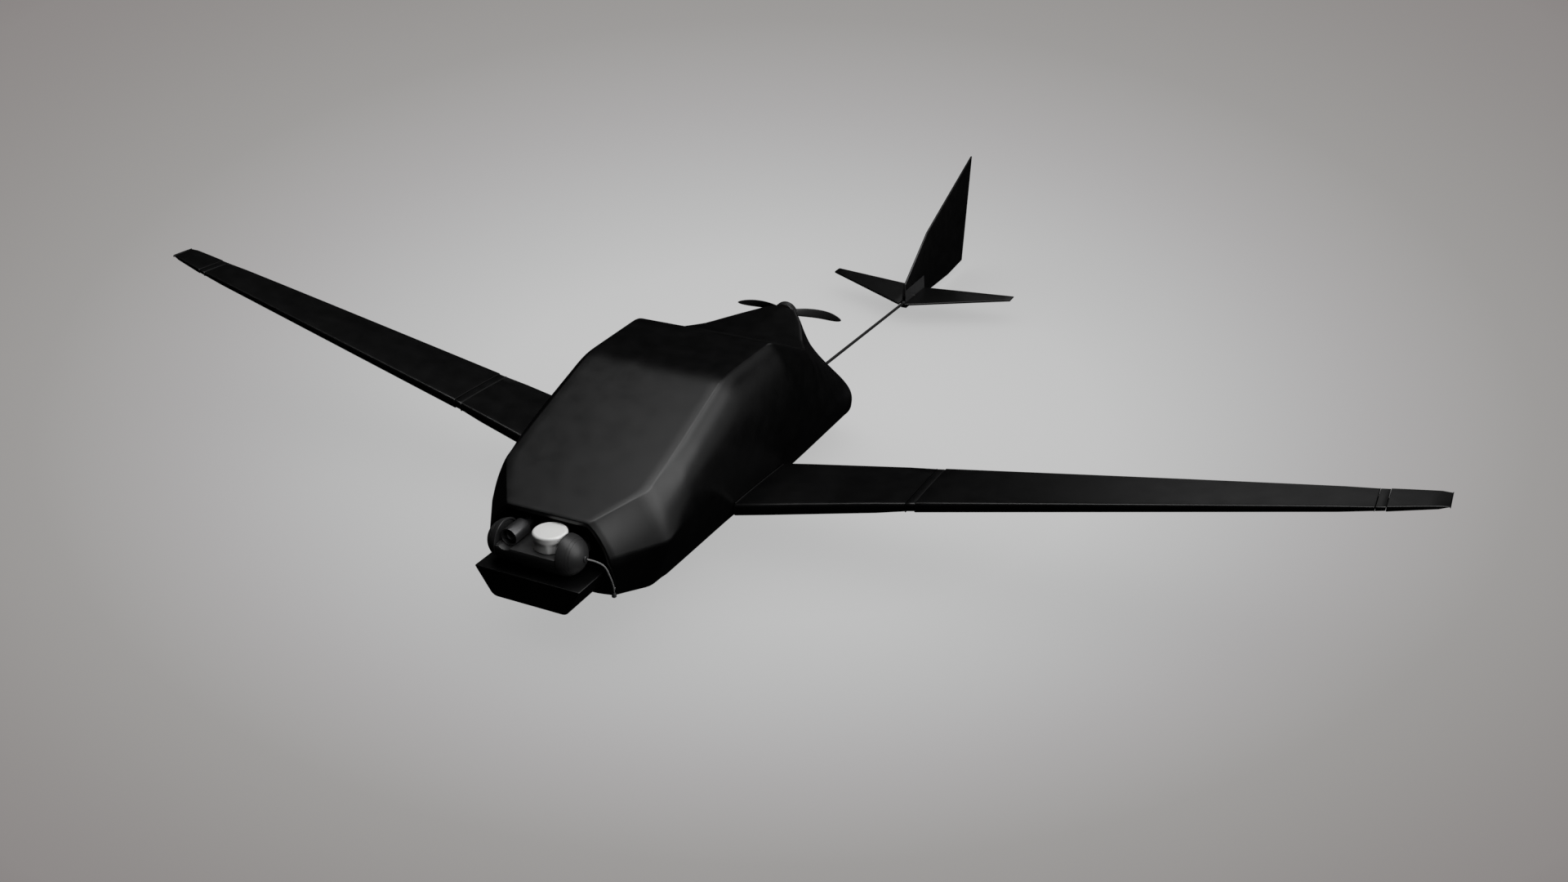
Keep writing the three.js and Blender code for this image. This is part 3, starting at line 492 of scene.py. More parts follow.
def smooth_ring(rings, y):
    """The ring at y, averaged over a little way before and behind it."""
    reach = min(crease_reach(y), y - HULL[0]["y"], HULL[-1]["y"] - y)
    if reach < 0.05:
        return ring_at(rings, y)
    weights = [1, 2, 3, 4, 3, 2, 1]
    near = [ring_at(rings, y + reach * (k - 3) / 3) for k in range(7)]
    total = sum(weights)
    made = []
    for points in zip(*near):
        made.append(tuple(sum(w * p[axis] for w, p in zip(weights, points)) / total for axis in range(3)))
    return made


def hull_stops():
    """Where the outer skin has a ring: closer together where the shape changes quickly."""
    stops, y = [], NOSE_Y
    while y < HULL[-1]["y"]:
        stops.append(y)
        near_step = PYLON_BACK - 3 < y < PYLON_BACK + 5
        y += 0.7 if near_step else 3.0 if y > 235 or y < -222 else 5.0
    return stops + [HULL[-1]["y"]]


NOSE_EDGE = 1.2
BAY = {"lip": 4, "low": 79.5, "high": 122, "depth": 3.0}


def nose_edge_rings():
    """The front edge's round, from the nose face outward to the first full ring."""
    half = half_outline(HULL[0])
    made = []
    for k in range(4):
        angle = math.radians(90 * k / 4)
        inward = NOSE_EDGE * (1 - math.sin(angle))
        back = NOSE_EDGE * (1 - math.cos(angle))
        made.append(full_ring(inset(half, inward), lambda z: NOSE_Y + back + nose_rake(z)))
    return made


def bay_rings():
    """The mouth of the nose bay, at its front and at its back."""
    clamped = [(x, min(max(z, BAY["low"]), BAY["high"])) for x, z in inset(half_outline(HULL[0]), BAY["lip"])]
    front = full_ring(clamped, lambda z: NOSE_Y + nose_rake(z))
    return [front, [(x, y + BAY["depth"], z) for x, y, z in front]]


def hull_body():
    """The hull's wall as one skin: outside from tail to nose, then in at the bay's mouth and back inside."""
    outer = [station_ring(s) for s in HULL]
    outside = [smooth_ring(outer, y) for y in reversed(hull_stops()) if y > NOSE_Y + NOSE_EDGE]
    inside = []
    for s in HULL:
        shift = WALL if s["y"] == NOSE_Y else 0.0 if s["y"] < PYLON_BACK else -WALL
        inside.append(station_ring(s, WALL, shift))
    return skin(outside + list(reversed(nose_edge_rings())) + bay_rings() + inside)


def keep_side(piece, z, above):
    """Keeps what lies above or below a height, and closes the cut."""
    work = bmesh.new()
    work.from_mesh(piece.data)
    everything = work.verts[:] + work.edges[:] + work.faces[:]
    normal = Vector((0, 0, 1 if above else -1))
    cut = bmesh.ops.bisect_plane(
        work, geom=everything, plane_co=(0, 0, z * MM), plane_no=normal, clear_inner=True, dist=1e-8
    )
    edges = [e for e in cut["geom_cut"] if isinstance(e, bmesh.types.BMEdge)]
    bmesh.ops.triangle_fill(work, edges=edges, use_beauty=True, use_dissolve=False)
    work.to_mesh(piece.data)
    work.free()
    tidy(piece.data)


def rod(axis, radius, start, end, centre, sides=48):
    profile = [(0, start), (radius, start), (radius, end), (0, end)]
    return turned(profile, axis, centre, sides)


def add_hull():
    points, faces = hull_body()
    shell = new_piece("hull_upper_skin", points, faces, "airframe", ["fuselage_shell"])
    keep_side(shell, SPLIT_Z + SPLIT_GAP, True)
    pan = new_piece("hull_belly_skin", points, faces, "airframe", ["belly_pan"])
    keep_side(pan, SPLIT_Z - SPLIT_GAP, False)


add_hull()


# ---------------------------------------------------------------- wing
WING_ROOT_X = 90.5
ROOT_FLARE = 0.027
ROOT_TOP_Z = 57.5
DIHEDRAL = 0.1742
HALF_SPAN = 750
INNER_BAND = (268.8, 277.8)
OUTER_BAND = (690, 699)
# Stations along the left wing: distance from the middle, leading edge, trailing edge, thickness.
WING = [
    (0, -57, 59.4, 10.8),
    (WING_ROOT_X, -43, 62.5, 10),
    (270, -14, 69, 8),
    (695, 39.5, 79, 4.6),
    (HALF_SPAN, 50, 81, 2.8),
]
FULLER = 4.2
FULLER_CHORD = 1.8
NOSE_PART = 0.045
NOSE_BLUNT = 0.72
FULLNESS = 1.8
BACK_EDGE = 0.5
DEEPEST_INSET = 0.42
ROOT_BEAD = 0.8
# Joiner tongues: the station that each is level with, front, back, half thickness.
INNER_TONGUE = (273.3, 4, 38, 1.3)
OUTER_TONGUE = (694.5, 48, 63, 0.7)
TONGUE_GAP = 0.3
TONGUE_SLOPE = 0.1785


def wing_at(x):
    """Leading edge, trailing edge, thickness and middle height at a station."""
    after = max(1, next((i for i, row in enumerate(WING) if row[0] >= x), len(WING) - 1))
    a, b = WING[after - 1], WING[after]
    front, back, thick = mix(a[1:], b[1:], (x - a[0]) / (b[0] - a[0]))
    middle = ROOT_TOP_Z + DIHEDRAL * (x - 90) - thick / 2
    fuller = FULLER * max(0.0, 1 - x / HALF_SPAN) ** 0.5
    return front, back + FULLER_CHORD * fuller, thick + fuller, middle + fuller / 2


def foil(x, front, back, thick, middle, fullness=FULLNESS, nose=NOSE_PART):
    """A section: a blunt nose with round shoulders, then a taper to a back edge of half the thickness."""
    chord = back - front
    upper = []
    for k in range(9):
        angle = math.radians(90 * k / 8)
        upper.append((nose * (1 - math.cos(angle) ** NOSE_BLUNT), math.sin(angle) ** NOSE_BLUNT))
    for k in range(1, 15):
        s = k / 14
        upper.append((nose + (1 - nose) * s, 1 - (1 - BACK_EDGE) * s**fullness))
    top = [(x, front + u * chord, middle + h * thick / 2) for u, h in reversed(upper)]
    bottom = [(x, front + u * chord, middle - h * thick / 2) for u, h in upper[1:]]
    return top + bottom


def inset_foil(x, depth):
    """The wing's section at x, smaller by a depth all round."""
    front, back, thick, middle = wing_at(x)
    depth = min(depth, thick * DEEPEST_INSET)
    return foil(x, front + depth, back - depth, thick - 2 * depth, middle)


def panel(start, end, start_round, end_waist, stops=6):
    """Rings of a wing panel, rounded at its inner end.

    The outer end was meant to be rounded too. Instead it narrows to a waist and flares back to full size.
    """
    rings = []
    for k in range(7):
        angle = math.radians(90 * k / 6)
        x = start + start_round * (1 - math.sin(angle))
        rings.append(inset_foil(x, start_round * (1 - math.cos(angle))))
    inner, outer = start + start_round, end - end_waist
    between = [inner + (outer - inner) * k / stops for k in range(1, stops)]
    between += [row[0] for row in WING if inner + 1 < row[0] < outer - 1]
    rings += [inset_foil(x, 0) for x in between]
    for k in range(7):
        depth = end_waist * (1 - math.cos(math.radians(90 * k / 6)))
        rings.append(inset_foil(end - depth, depth))
    return sorted(rings, key=lambda ring: ring[0][0])


def root_panel():
    """The inner panel. Its inner end follows the hull's side."""
    rings = panel(WING_ROOT_X + 1.4, INNER_BAND[0], 3.0, 0.8)
    flared = []
    for ring in rings:
        fade = max(0.0, 1 - (ring[0][0] - WING_ROOT_X) / 30)
        flared.append([(x + ROOT_FLARE * y * fade, y, z) for x, y, z in ring])
    return skin(flared)


def root_bead():
    """A thin rounded edge along the top of the wing's inner end."""
    root = WING_ROOT_X + 3.4
    front, back, thick, middle = wing_at(root)
    rings = []
    for k in range(25):
        t = k / 24
        y = front + 3 + (back - front - 6) * t
        x = root + ROOT_FLARE * y
        z = middle + thick / 2 * (1 - (1 - BACK_EDGE) * t**FULLNESS) + 0.1
        around = [2 * math.pi * j / 16 for j in range(16)]
        rings.append([(x + ROOT_BEAD * math.sin(a), y, z + ROOT_BEAD * math.cos(a)) for a in around])
    return skin(rings)


def tongue(at, start, end, front, back, half):
    """A flat bar along the wing, level with the section's middle at one station."""
    middle = wing_at(at)[3]
    rings = []
    for x in (start, end):
        z = middle + TONGUE_SLOPE * (x - at)
        rings.append([(x, front, z - half), (x, back, z - half), (x, back, z + half), (x, front, z + half)])
    return skin(rings)


def pocket(bar, start, end):
    """The slot for a tongue, a little larger all round."""
    at, front, back, half = bar
    return tongue(at, start, end, front - TONGUE_GAP, back + TONGUE_GAP, half + TONGUE_GAP)


def add_wings():
    inner_pocket = pocket(INNER_TONGUE, INNER_BAND[1] - 3, INNER_BAND[1] + 36.3)
    outer_pocket = pocket(OUTER_TONGUE, OUTER_BAND[0] - 18.3, OUTER_BAND[0] + 3)
    tip_pocket = pocket(OUTER_TONGUE, OUTER_BAND[1] - 3, OUTER_BAND[1] + 18.3)
    middle = skin(panel(INNER_BAND[1], OUTER_BAND[0], 0.8, 0.6, 14))
    tip = skin(panel(OUTER_BAND[1], HALF_SPAN, 0.6, 1.1))
    for side, turn in SIDES:
        new_piece(
            f"wing_root_skin_{side}", *turn(root_panel()), "airframe", [f"wing_root_{side}"], "foam_black"
        )
        new_piece(f"root_bead_{side}", *turn(root_bead()), "airframe", slot="hull_black")
        body = f"wing_panel_{side}"
        wing = new_piece(
            f"wing_middle_skin_{side}", *turn(middle), body, [f"wing_middle_{side}"], "foam_black"
        )
        carve(wing, turn(inner_pocket))
        carve(wing, turn(outer_pocket))
        body = f"wing_end_{side}"
        end = new_piece(f"wing_tip_skin_{side}", *turn(tip), body, [f"wing_tip_{side}"], "foam_black")
        carve(end, turn(tip_pocket))


add_wings()


# ---------------------------------------------------------------- copies of simple frame parts
def softened(node, width, segments=3):
    """A copy of a plain CAD part with its edges rounded, in the part's place."""
    mesh = NODES[node].data.copy()
    mesh.name = f"{node}_soft"
    work = bmesh.new()
    work.from_mesh(mesh)
    bmesh.ops.remove_doubles(work, verts=work.verts, dist=2e-7)
    bmesh.ops.dissolve_limit(work, angle_limit=math.radians(1.0), verts=work.verts, edges=work.edges)
    work.to_mesh(mesh)
    work.free()
    piece = bpy.data.objects.new(f"{node}_soft", mesh)
    bpy.context.collection.objects.link(piece)
    mesh.materials.clear()
    soften(piece, width, segments)
    piece.data.materials.append(LOOKS[SLOT_OF[node]])
    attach(piece, "airframe")
    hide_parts(node)


# ---------------------------------------------------------------- nose shelf
TRAY = {"half": 58, "low_half": 41, "front": -274.5, "low_front": -273, "top": 77, "low": 47, "wall": 2.4}
TRAY_BACK = NOSE_Y - 0.3


def tray_ring(inner, depth, back):
    """A round-cornered outline across the shelf, its depth from the front or at the back."""
    top, low = TRAY["top"] - inner, TRAY["low"] + inner
    half, low_half = TRAY["half"] - 1.5 * inner, TRAY["low_half"] - inner
    corners_xz = [(-half, top), (half, top), (low_half, low), (-low_half, low)]
    ring = []
    for i, corner in enumerate(corners_xz):
        before, after = corners_xz[i - 1], corners_xz[(i + 1) % 4]
        reach = 1.6 if i < 2 else 5.5
        start, end = toward(corner, before, reach), toward(corner, after, reach)
        for k in range(9):
            t = k / 8
            ring.append(mix(mix(start, corner, t), mix(corner, end, t), t))
    points = []
    for x, z in ring:
        t = (TRAY["top"] - z) / (TRAY["top"] - TRAY["low"])
        if back:
            y = TRAY_BACK + nose_rake(z) - depth
        else:
            y = TRAY["front"] + (TRAY["low_front"] - TRAY["front"]) * t + depth
        points.append((x, y, z))
    return points


def add_tray():
    edge = 0.9
    outside = []
    for k in range(5):
        angle = math.radians(90 * k / 4)
        outside.append(tray_ring(edge * (1 - math.sin(angle)), edge * (1 - math.cos(angle)), False))
    wall = TRAY["wall"]
    inside = [tray_ring(wall, 0, True), tray_ring(wall, wall, False)]
    new_piece("shelf_skin", *skin(outside + [tray_ring(0, 0, True)] + inside), "airframe", ["chin_tray"])


add_tray()


# ---------------------------------------------------------------- camera capsule
CAPSULE = {"y": -250, "z": 98, "r": 20.4}
HUB = (0, CAPSULE["y"], CAPSULE["z"])
DOME_WALL = 1.8
DOME_SEAMS = (12.0, 9.4)
SEAM_HALF = 0.22
SEAM_DEPTH = 0.3
TRUNNION_HOLE = 2.5
BOSS_R = 5
DECK_Z = 101.3
DRUM_R = 20.2
DRUM_ENDS = (-35.7, 29.7)


def dome_profile(rim, centre):
    """Round the dome's wall: the outside with its seams, the boss and the inside."""
    r, inner = CAPSULE["r"], CAPSULE["r"] - DOME_WALL
    lip = 0.6
    line = [(inner, rim), (r - lip, rim), (r - 0.18, rim + 0.18), (r, rim + lip)]
    start = math.asin((rim + lip + 0.4 - centre) / r)
    end = math.acos(TRUNNION_HOLE / r)
    for k in range(61):
        angle = start + (end - start) * k / 60
        line.append((r * math.cos(angle), centre + r * math.sin(angle)))
    for seam in DOME_SEAMS:
        at = math.asin(seam / r)
        line = [p for p in line if abs(p[1] - centre - seam) > 3 * SEAM_HALF or p[0] < 8]
        notch = []
        for step, depth in ((-1.6, 0), (-1, 0), (-0.5, SEAM_DEPTH), (0.5, SEAM_DEPTH), (1, 0), (1.6, 0)):
            angle = at + step * SEAM_HALF / r
            notch.append(((r - depth) * math.cos(angle), centre + (r - depth) * math.sin(angle)))
        line += notch
    outer = sorted(line[1:], key=lambda p: math.atan2(p[1] - centre, p[0]))
    line = [line[0]] + outer
    boss_end = centre + math.sqrt(inner**2 - BOSS_R**2)
    line += [(TRUNNION_HOLE, rim + 3), (BOSS_R, rim + 3), (BOSS_R, boss_end)]
    start, end = math.acos(BOSS_R / inner), math.asin((rim + 0.3 - centre) / inner)
    for k in range(1, 25):
        angle = start + (end - start) * k / 24
        line.append((inner * math.cos(angle), centre + inner * math.sin(angle)))
    return line


def add_domes():
    left = turned(dome_profile(30, 29.8), "x", HUB, 128)
    right = mirrored(turned(dome_profile(36, 33.6), "x", HUB, 128))
    new_piece("dome_skin_left", *left, "airframe", ["dome_left"], "nylon_black", math.radians(40))
    new_piece("dome_skin_right", *right, "airframe", ["dome_right"], "nylon_black", math.radians(40))


CAMERA = {"x": -25, "z": 108, "front": -262, "step": -239, "back": -226.8, "r": 8.8, "rear_r": 4.9}
CAMERA_LINE = (CAMERA["x"], 0, CAMERA["z"])
BORE_R = 7.5
BORE_DEPTH = 6


def add_drum():
    right, left = DRUM_ENDS
    edge = 0.4
    side = [(0, right), (DRUM_R - edge, right), (DRUM_R, right + edge), (DRUM_R, left - edge)]
    drum = new_piece(
        "drum_body", *turned(side + [(DRUM_R - edge, left), (0, left)], "x", HUB, 144), "camera_drum",
        ["gimbal_drum"], "nylon_black",
    )
    carve(drum, block((-60, -300, DECK_Z), (60, -200, 140)))
    carve(drum, rod("y", CAMERA["r"] + 0.3, -280, -220, CAMERA_LINE, 96))
    soften(drum, 0.35, 2, 40)
    new_piece("drum_trunnions", *rod("x", 2.4, right - 9, left + 9, HUB), "camera_drum", slot="nylon_black")
    lug = [(-35.4, -268.6), (-33.4, -268.6), (-34.6, -258.5), (-35.4, -258.5)]
    rise = skin([[(x, y, DECK_Z - 0.4) for x, y in lug], [(x, y, DECK_Z + 0.7) for x, y in lug]])
    soften(new_piece("deck_lug", *rise, "camera_drum", slot="nylon_black"), 0.2)
    for name, x, drop in (("a", -21.5, 7.5), ("b", 17.5, 4.6)):
        angle = math.asin((DECK_Z - CAPSULE["z"] - drop) / DRUM_R)
        y = CAPSULE["y"] - (DRUM_R - 0.05) * math.cos(angle)
        z = CAPSULE["z"] + (DRUM_R - 0.05) * math.sin(angle)
        for mark, offset in enumerate((-1.5, 1.2)):
            dash = block((x + offset - 0.9, y - 0.15, z - 0.4), (x + offset + 0.9, y + 0.6, z + 0.4))
            soften(new_piece(f"drum_mark_{name}{mark}", *dash, "camera_drum", slot="nylon_black"), 0.12)


def add_nose_camera():
    front, step, r = CAMERA["front"], CAMERA["step"], CAMERA["r"]
    back, rear_r = CAMERA["back"], CAMERA["rear_r"]
    groove = step - 2.6
    barrel = [
        (0, front + BORE_DEPTH),
        (BORE_R, front + BORE_DEPTH),
        (BORE_R, front + 0.3),
        (BORE_R + 0.2, front + 0.05),
        (BORE_R + 0.45, front),
        (r - 0.35, front),
        (r - 0.1, front + 0.1),
        (r, front + 0.4),
        (r, groove - 0.3),
        (r - 0.4, groove - 0.1),
        (r - 0.4, groove + 0.1),
        (r, groove + 0.3),
        (r, step - 0.5),
        (r - 0.15, step - 0.15),
        (r - 0.5, step),
        (0, step),
    ]
    rear = [
        (0, step + 0.3),
        (rear_r, step + 0.3),
        (rear_r, back - 1.1),
        (rear_r - 0.3, back - 0.35),
        (rear_r - 1.1, back),
        (0, back),
    ]
    new_piece(
        "barrel_body", *turned(barrel, "y", CAMERA_LINE, 128), "camera_drum", ["camera_barrel"], "dark_metal"
    )
    new_piece(
        "barrel_tail", *turned(rear, "y", CAMERA_LINE, 96), "camera_drum", ["camera_rear_tube"], "dark_metal"
    )
    base = front + BORE_DEPTH - 0.3
    glass = [(0, base), (6.6, base), (6.6, base - 0.9), (5.4, base - 1.1)]
    for degrees in range(0, 91, 9):
        angle = math.radians(degrees)
        glass.append((5.2 * math.cos(angle), base - 1.1 - 1.9 * math.sin(angle)))
    new_piece(
        "lens_glass_front", *turned(glass, "y", CAMERA_LINE, 96), "camera_drum", ["camera_lens"], "lens_glass"
    )


PUCK = {"x": 12.6, "y": -249, "low": 101.6, "high": 118.6, "r": 16.7}
PUCK_FACET = 0.55
PUCK_TURN = -67
PUCK_EDGE = 2.4
PUCK_FACET_TOP = 113.0


def puck_ring(z, shrink=0.0):
    """Round above, and nearer six-sided towards the base."""
    down = min(1.0, max(0.0, (PUCK_FACET_TOP - z) / 4.5))
    down = down * down * (3 - 2 * down)
    ring = []
    for k in range(144):
        angle = math.radians(2.5 * k)
        from_edge = (2.5 * k - PUCK_TURN + 30) % 60 - 30
        flat = math.cos(math.radians(30)) / math.cos(math.radians(30 - abs(from_edge)))
        tip = 1 - 0.012 * max(0.0, 1 - abs(from_edge) / 4)
        facet = PUCK["r"] * (1 + PUCK_FACET * (flat - 1)) * tip
        radius = PUCK["r"] + (facet - PUCK["r"]) * down - shrink
        ring.append((PUCK["x"] + radius * math.cos(angle), PUCK["y"] + radius * math.sin(angle), z))
    return ring


def add_puck():
    low, high = PUCK["low"], PUCK["high"]
    rings = [puck_ring(low, 0.5), puck_ring(low + 0.15, 0.15), puck_ring(low + 0.5)]
    rings += [puck_ring(low + 0.5 + (high - PUCK_EDGE - low - 0.5) * k / 24) for k in range(1, 25)]
    for k in range(1, 9):
        angle = math.radians(90 * k / 8)
        z = high - PUCK_EDGE + PUCK_EDGE * math.sin(angle)
        rings.append(puck_ring(z, PUCK_EDGE * (1 - math.cos(angle))))
    new_piece("puck_body", *skin(rings), "camera_drum", ["puck_sensor"], "satin_white", math.radians(50))


add_domes()
add_drum()
add_nose_camera()
add_puck()


# ---------------------------------------------------------------- swept tubes
def spline(route, t):
    """A Catmull-Rom point at t from 0 to 1 along a route."""
    spans = len(route) - 1
    at = min(spans - 1e-9, t * spans)
    i, s = int(at), at - int(at)
    p = [Vector(route[max(0, min(spans, i + k))]) for k in (-1, 0, 1, 2)]
    return 0.5 * (
        2 * p[1] + (p[2] - p[0]) * s + (2 * p[0] - 5 * p[1] + 4 * p[2] - p[3]) * s**2
        + (3 * p[1] - p[0] - 3 * p[2] + p[3]) * s**3
    )


def swept(route, radius, steps, sides=20, taper=None):
    """A round tube along a route. taper gives a factor on the radius from 0 to 1 along it."""
    line = [spline(route, k / steps) for k in range(steps + 1)]
    side = Vector((0, 0, 1))
    rings = []
    for k, point in enumerate(line):
        along = (line[min(k + 1, steps)] - line[max(k - 1, 0)]).normalized()
        side = (side - along * side.dot(along)).normalized()
        other = along.cross(side)
        r = radius * (taper(k / steps) if taper else 1)
        ring = []
        for j in range(sides):
            angle = 2 * math.pi * j / sides
            ring.append(tuple(point + side * (r * math.cos(angle)) + other * (r * math.sin(angle))))
        rings.append(ring)
    return skin(rings)


LEAD_ROUTE = [
    (52, -250, 98),
    (53.6, -249, 97.4),
    (56.4, -244.8, 94.4),
    (60.4, -239.6, 89.4),
    (63.4, -236.9, 84),
    (65, -234.6, 76),
    (65.6, -231.6, 67),
    (64.8, -228.3, 58),
    (63.6, -226.6, 53.4),
]
GLAND = (63.4, -226.4, 50.2)


def add_lead():
    new_piece("lead_sheath", *swept(LEAD_ROUTE, 0.9, 90), "airframe", ["signal_lead"], "lead_grey")
    hub = [(0, 47), (2.2, 47), (2.2, 50.3), (3.0, 50.3), (3.2, 50.5), (3.1, 51.0), (2.7, 51.4), (0, 51.4)]
    new_piece("hub_cap", *turned(hub, "x", HUB, 64), "airframe", ["lead_hub"], "nylon_black")
    low = GLAND[2] - 2.6
    boot = [(0, low), (1.9, low), (2.3, low + 0.4), (2.3, low + 2.8), (1.6, low + 4.2)]
    boot += [(1.25, low + 5.2), (0, low + 5.2)]
    boot = turned(boot, "z", (GLAND[0], GLAND[1], 0), 48)
    new_piece("gland_boot", *boot, "airframe", ["lead_gland"], "nylon_black")
    clip = [(63.6, -228.4, 55.6), (65.2, -229.4, 56.6), (66.2, -229.0, 58.4), (65.8, -227.8, 59.6)]
    new_piece("lead_clip", *swept(clip, 0.45, 16, 12), "airframe", slot="lead_grey")


add_lead()


# ---------------------------------------------------------------- propulsion
PROP_Z = 145
PROP_Y = 277
PROP_R = 68
AXLE = (0, 0, PROP_Z)
# Stations along a blade: radius, chord, twist in degrees, thickness.
BLADE = [
    (4.4, 7.4, 38, 3.7),
    (8, 8.6, 36, 3.2),
    (20, 9.9, 26, 2.4),
    (34, 10.2, 18, 1.9),
    (48, 9.8, 14, 1.5),
    (58, 7.8, 12, 1.2),
    (65, 4.5, 11, 0.9),
    (PROP_R, 1.4, 11, 0.6),
]
BLADE_BOW = 7
PROP_HUB_R = 7


def blade_at(t):
    """Radius, chord, twist and thickness along the blade, smooth between its stations."""
    flat = [spline([row[:3] for row in BLADE], t), spline([(row[0], row[3], 0) for row in BLADE], t)]
    return min(flat[0].x, PROP_R), flat[0].y, flat[0].z, flat[1].y


def blade():
    """One blade: thin lens sections, twisted, and bowed backward beyond the hub."""
    rings = []
    for k in range(57):
        r, chord, twist, thick = blade_at(k / 56)
        angle = math.radians(twist)
        bow = BLADE_BOW * math.sin(math.pi * max(0, r - PROP_HUB_R) / (PROP_R - PROP_HUB_R))
        ring = []
        for j in range(28):
            turn = 2 * math.pi * j / 28
            c, t = chord / 2 * math.cos(turn), thick / 2 * math.sin(turn)
            y = PROP_Y + bow + c * math.sin(angle) + t * math.cos(angle)
            ring.append((r, y, PROP_Z + c * math.cos(angle) - t * math.sin(angle)))
        rings.append(ring)
    return skin(rings)


def half_turn(part):
    points, faces = part
    return [(-x, y, 2 * PROP_Z - z) for x, y, z in points], faces


def add_propeller():
    hub = [(3.3, 273.2), (3.6, 272.9), (6.6, 272.9), (6.9, 273.1), (7, 273.4)]
    hub += [(7, 280), (6.85, 280.4), (6.4, 280.6), (3.6, 280.6), (3.3, 280.3)]
    parts = joined(turned(hub, "y", AXLE, 96), blade(), half_turn(blade()))
    new_piece("propeller_blades", *parts, "rotor", ["propeller"], "nylon_black", math.radians(45))
    nut = [(3.3, 280.9), (5, 280.9), (5, 283.6), (4.7, 284.6), (3.9, 286.4)]
    nut += [(2.9, 287.3), (1.8, 287.8), (0, 288), (0, 284.8), (3.3, 284.8)]
    new_piece(
        "propeller_nut_body", *turned(nut, "y", AXLE, 6), "rotor", ["propeller_nut"], "bare_aluminium",
        math.radians(20),
    )
    bell = [(0, 252), (1.3, 252), (1.5, 252.2), (1.5, 270.4), (10.6, 270.4), (10.6, 262.4), (10.8, 262.2)]
    bell += [(13.9, 262.2), (14.25, 262.35), (14.4, 262.7), (14.4, 264.4), (14.2, 264.6), (14.2, 264.9)]
    bell += [(14.4, 265.1), (14.4, 271.0), (14.2, 271.7), (13.5, 272.4), (12.8, 272.6), (3, 272.6)]
    bell += [(3, 284.2), (2.7, 284.5), (0, 284.5)]
    new_piece("bell_can", *turned(bell, "y", AXLE, 128), "rotor", ["motor_bell"], "dark_metal")
    stator = [(1.8, 249.9), (8.8, 249.9), (8.8, 261.6), (10, 261.6), (10, 269.6), (1.8, 269.6)]
    new_piece("stator_core", *turned(stator, "y", AXLE, 72), "airframe", ["motor_stator"], "winding")


add_propeller()


# ---------------------------------------------------------------- joiner collars
# How far in from the collar's edge, and how much deeper it is there.
COLLAR_INSETS = ((0, 0.5), (0.15, 0.12), (0.5, 0))


def collar(band, depth):
    """The joiner's band between two panels, sunk by a depth, with rounded edges."""
    start, end = band[0] + 0.3, band[1] - 0.3
    rings = [inset_foil(start + along, depth + deeper) for along, deeper in COLLAR_INSETS]
    rings += [inset_foil(end - along, depth + deeper) for along, deeper in reversed(COLLAR_INSETS)]
    return skin(rings)


def add_joiners():
    at, *bar = INNER_TONGUE
    inner = joined(collar(INNER_BAND, 0.9), tongue(at, INNER_BAND[0] - 24, INNER_BAND[1] + 36, *bar))
    at, *bar = OUTER_TONGUE
    outer = joined(collar(OUTER_BAND, 0.55), tongue(at, OUTER_BAND[0] - 18, OUTER_BAND[1] + 18, *bar))
    for side, turn in SIDES:
        new_piece(f"inner_collar_{side}", *turn(inner), "airframe", [f"wing_joiner_{side}"], "foam_black")
        new_piece(
            f"outer_collar_{side}", *turn(outer), f"wing_panel_{side}", [f"tip_joiner_{side}"], "foam_black"
        )


add_joiners()


# ---------------------------------------------------------------- tail
BOOM = {"r": 1.9, "bore": 1.4, "front": 206, "rear": 648, "rear_z": 26, "slope": -0.0321}
TAIL_Z = 26
PIVOT_Y = 684
# Root and tip: distance from the middle, leading edge, trailing edge, thickness, middle height.
STABILISER = ((4.5, 641.5, 719, 3, 26), (136.5, 713.8, 730.6, 2.4, 29.7))
TAIL_FULLNESS = 4
COLLAR = {"radius": 2.6, "front": 644.5, "rear": 650.4}


def boom_height(y):
    return BOOM["rear_z"] + BOOM["slope"] * (y - BOOM["rear"])


def along_boom(profile, sides=48):
    """A closed body of revolution on the boom's line. The profile is (radius, y) pairs."""
    points, faces = turned(profile, "y", (0, 0, 0), sides)
    return [(x, y, z + boom_height(y)) for x, y, z in points], faces


def stabiliser_ring(t, depth=0.0):
    root, tip = STABILISER
    x, front, back, thick, middle = mix(root, tip, t)
    return foil(x, front + depth, back - depth, thick - 2 * depth, middle, TAIL_FULLNESS, 0.03)


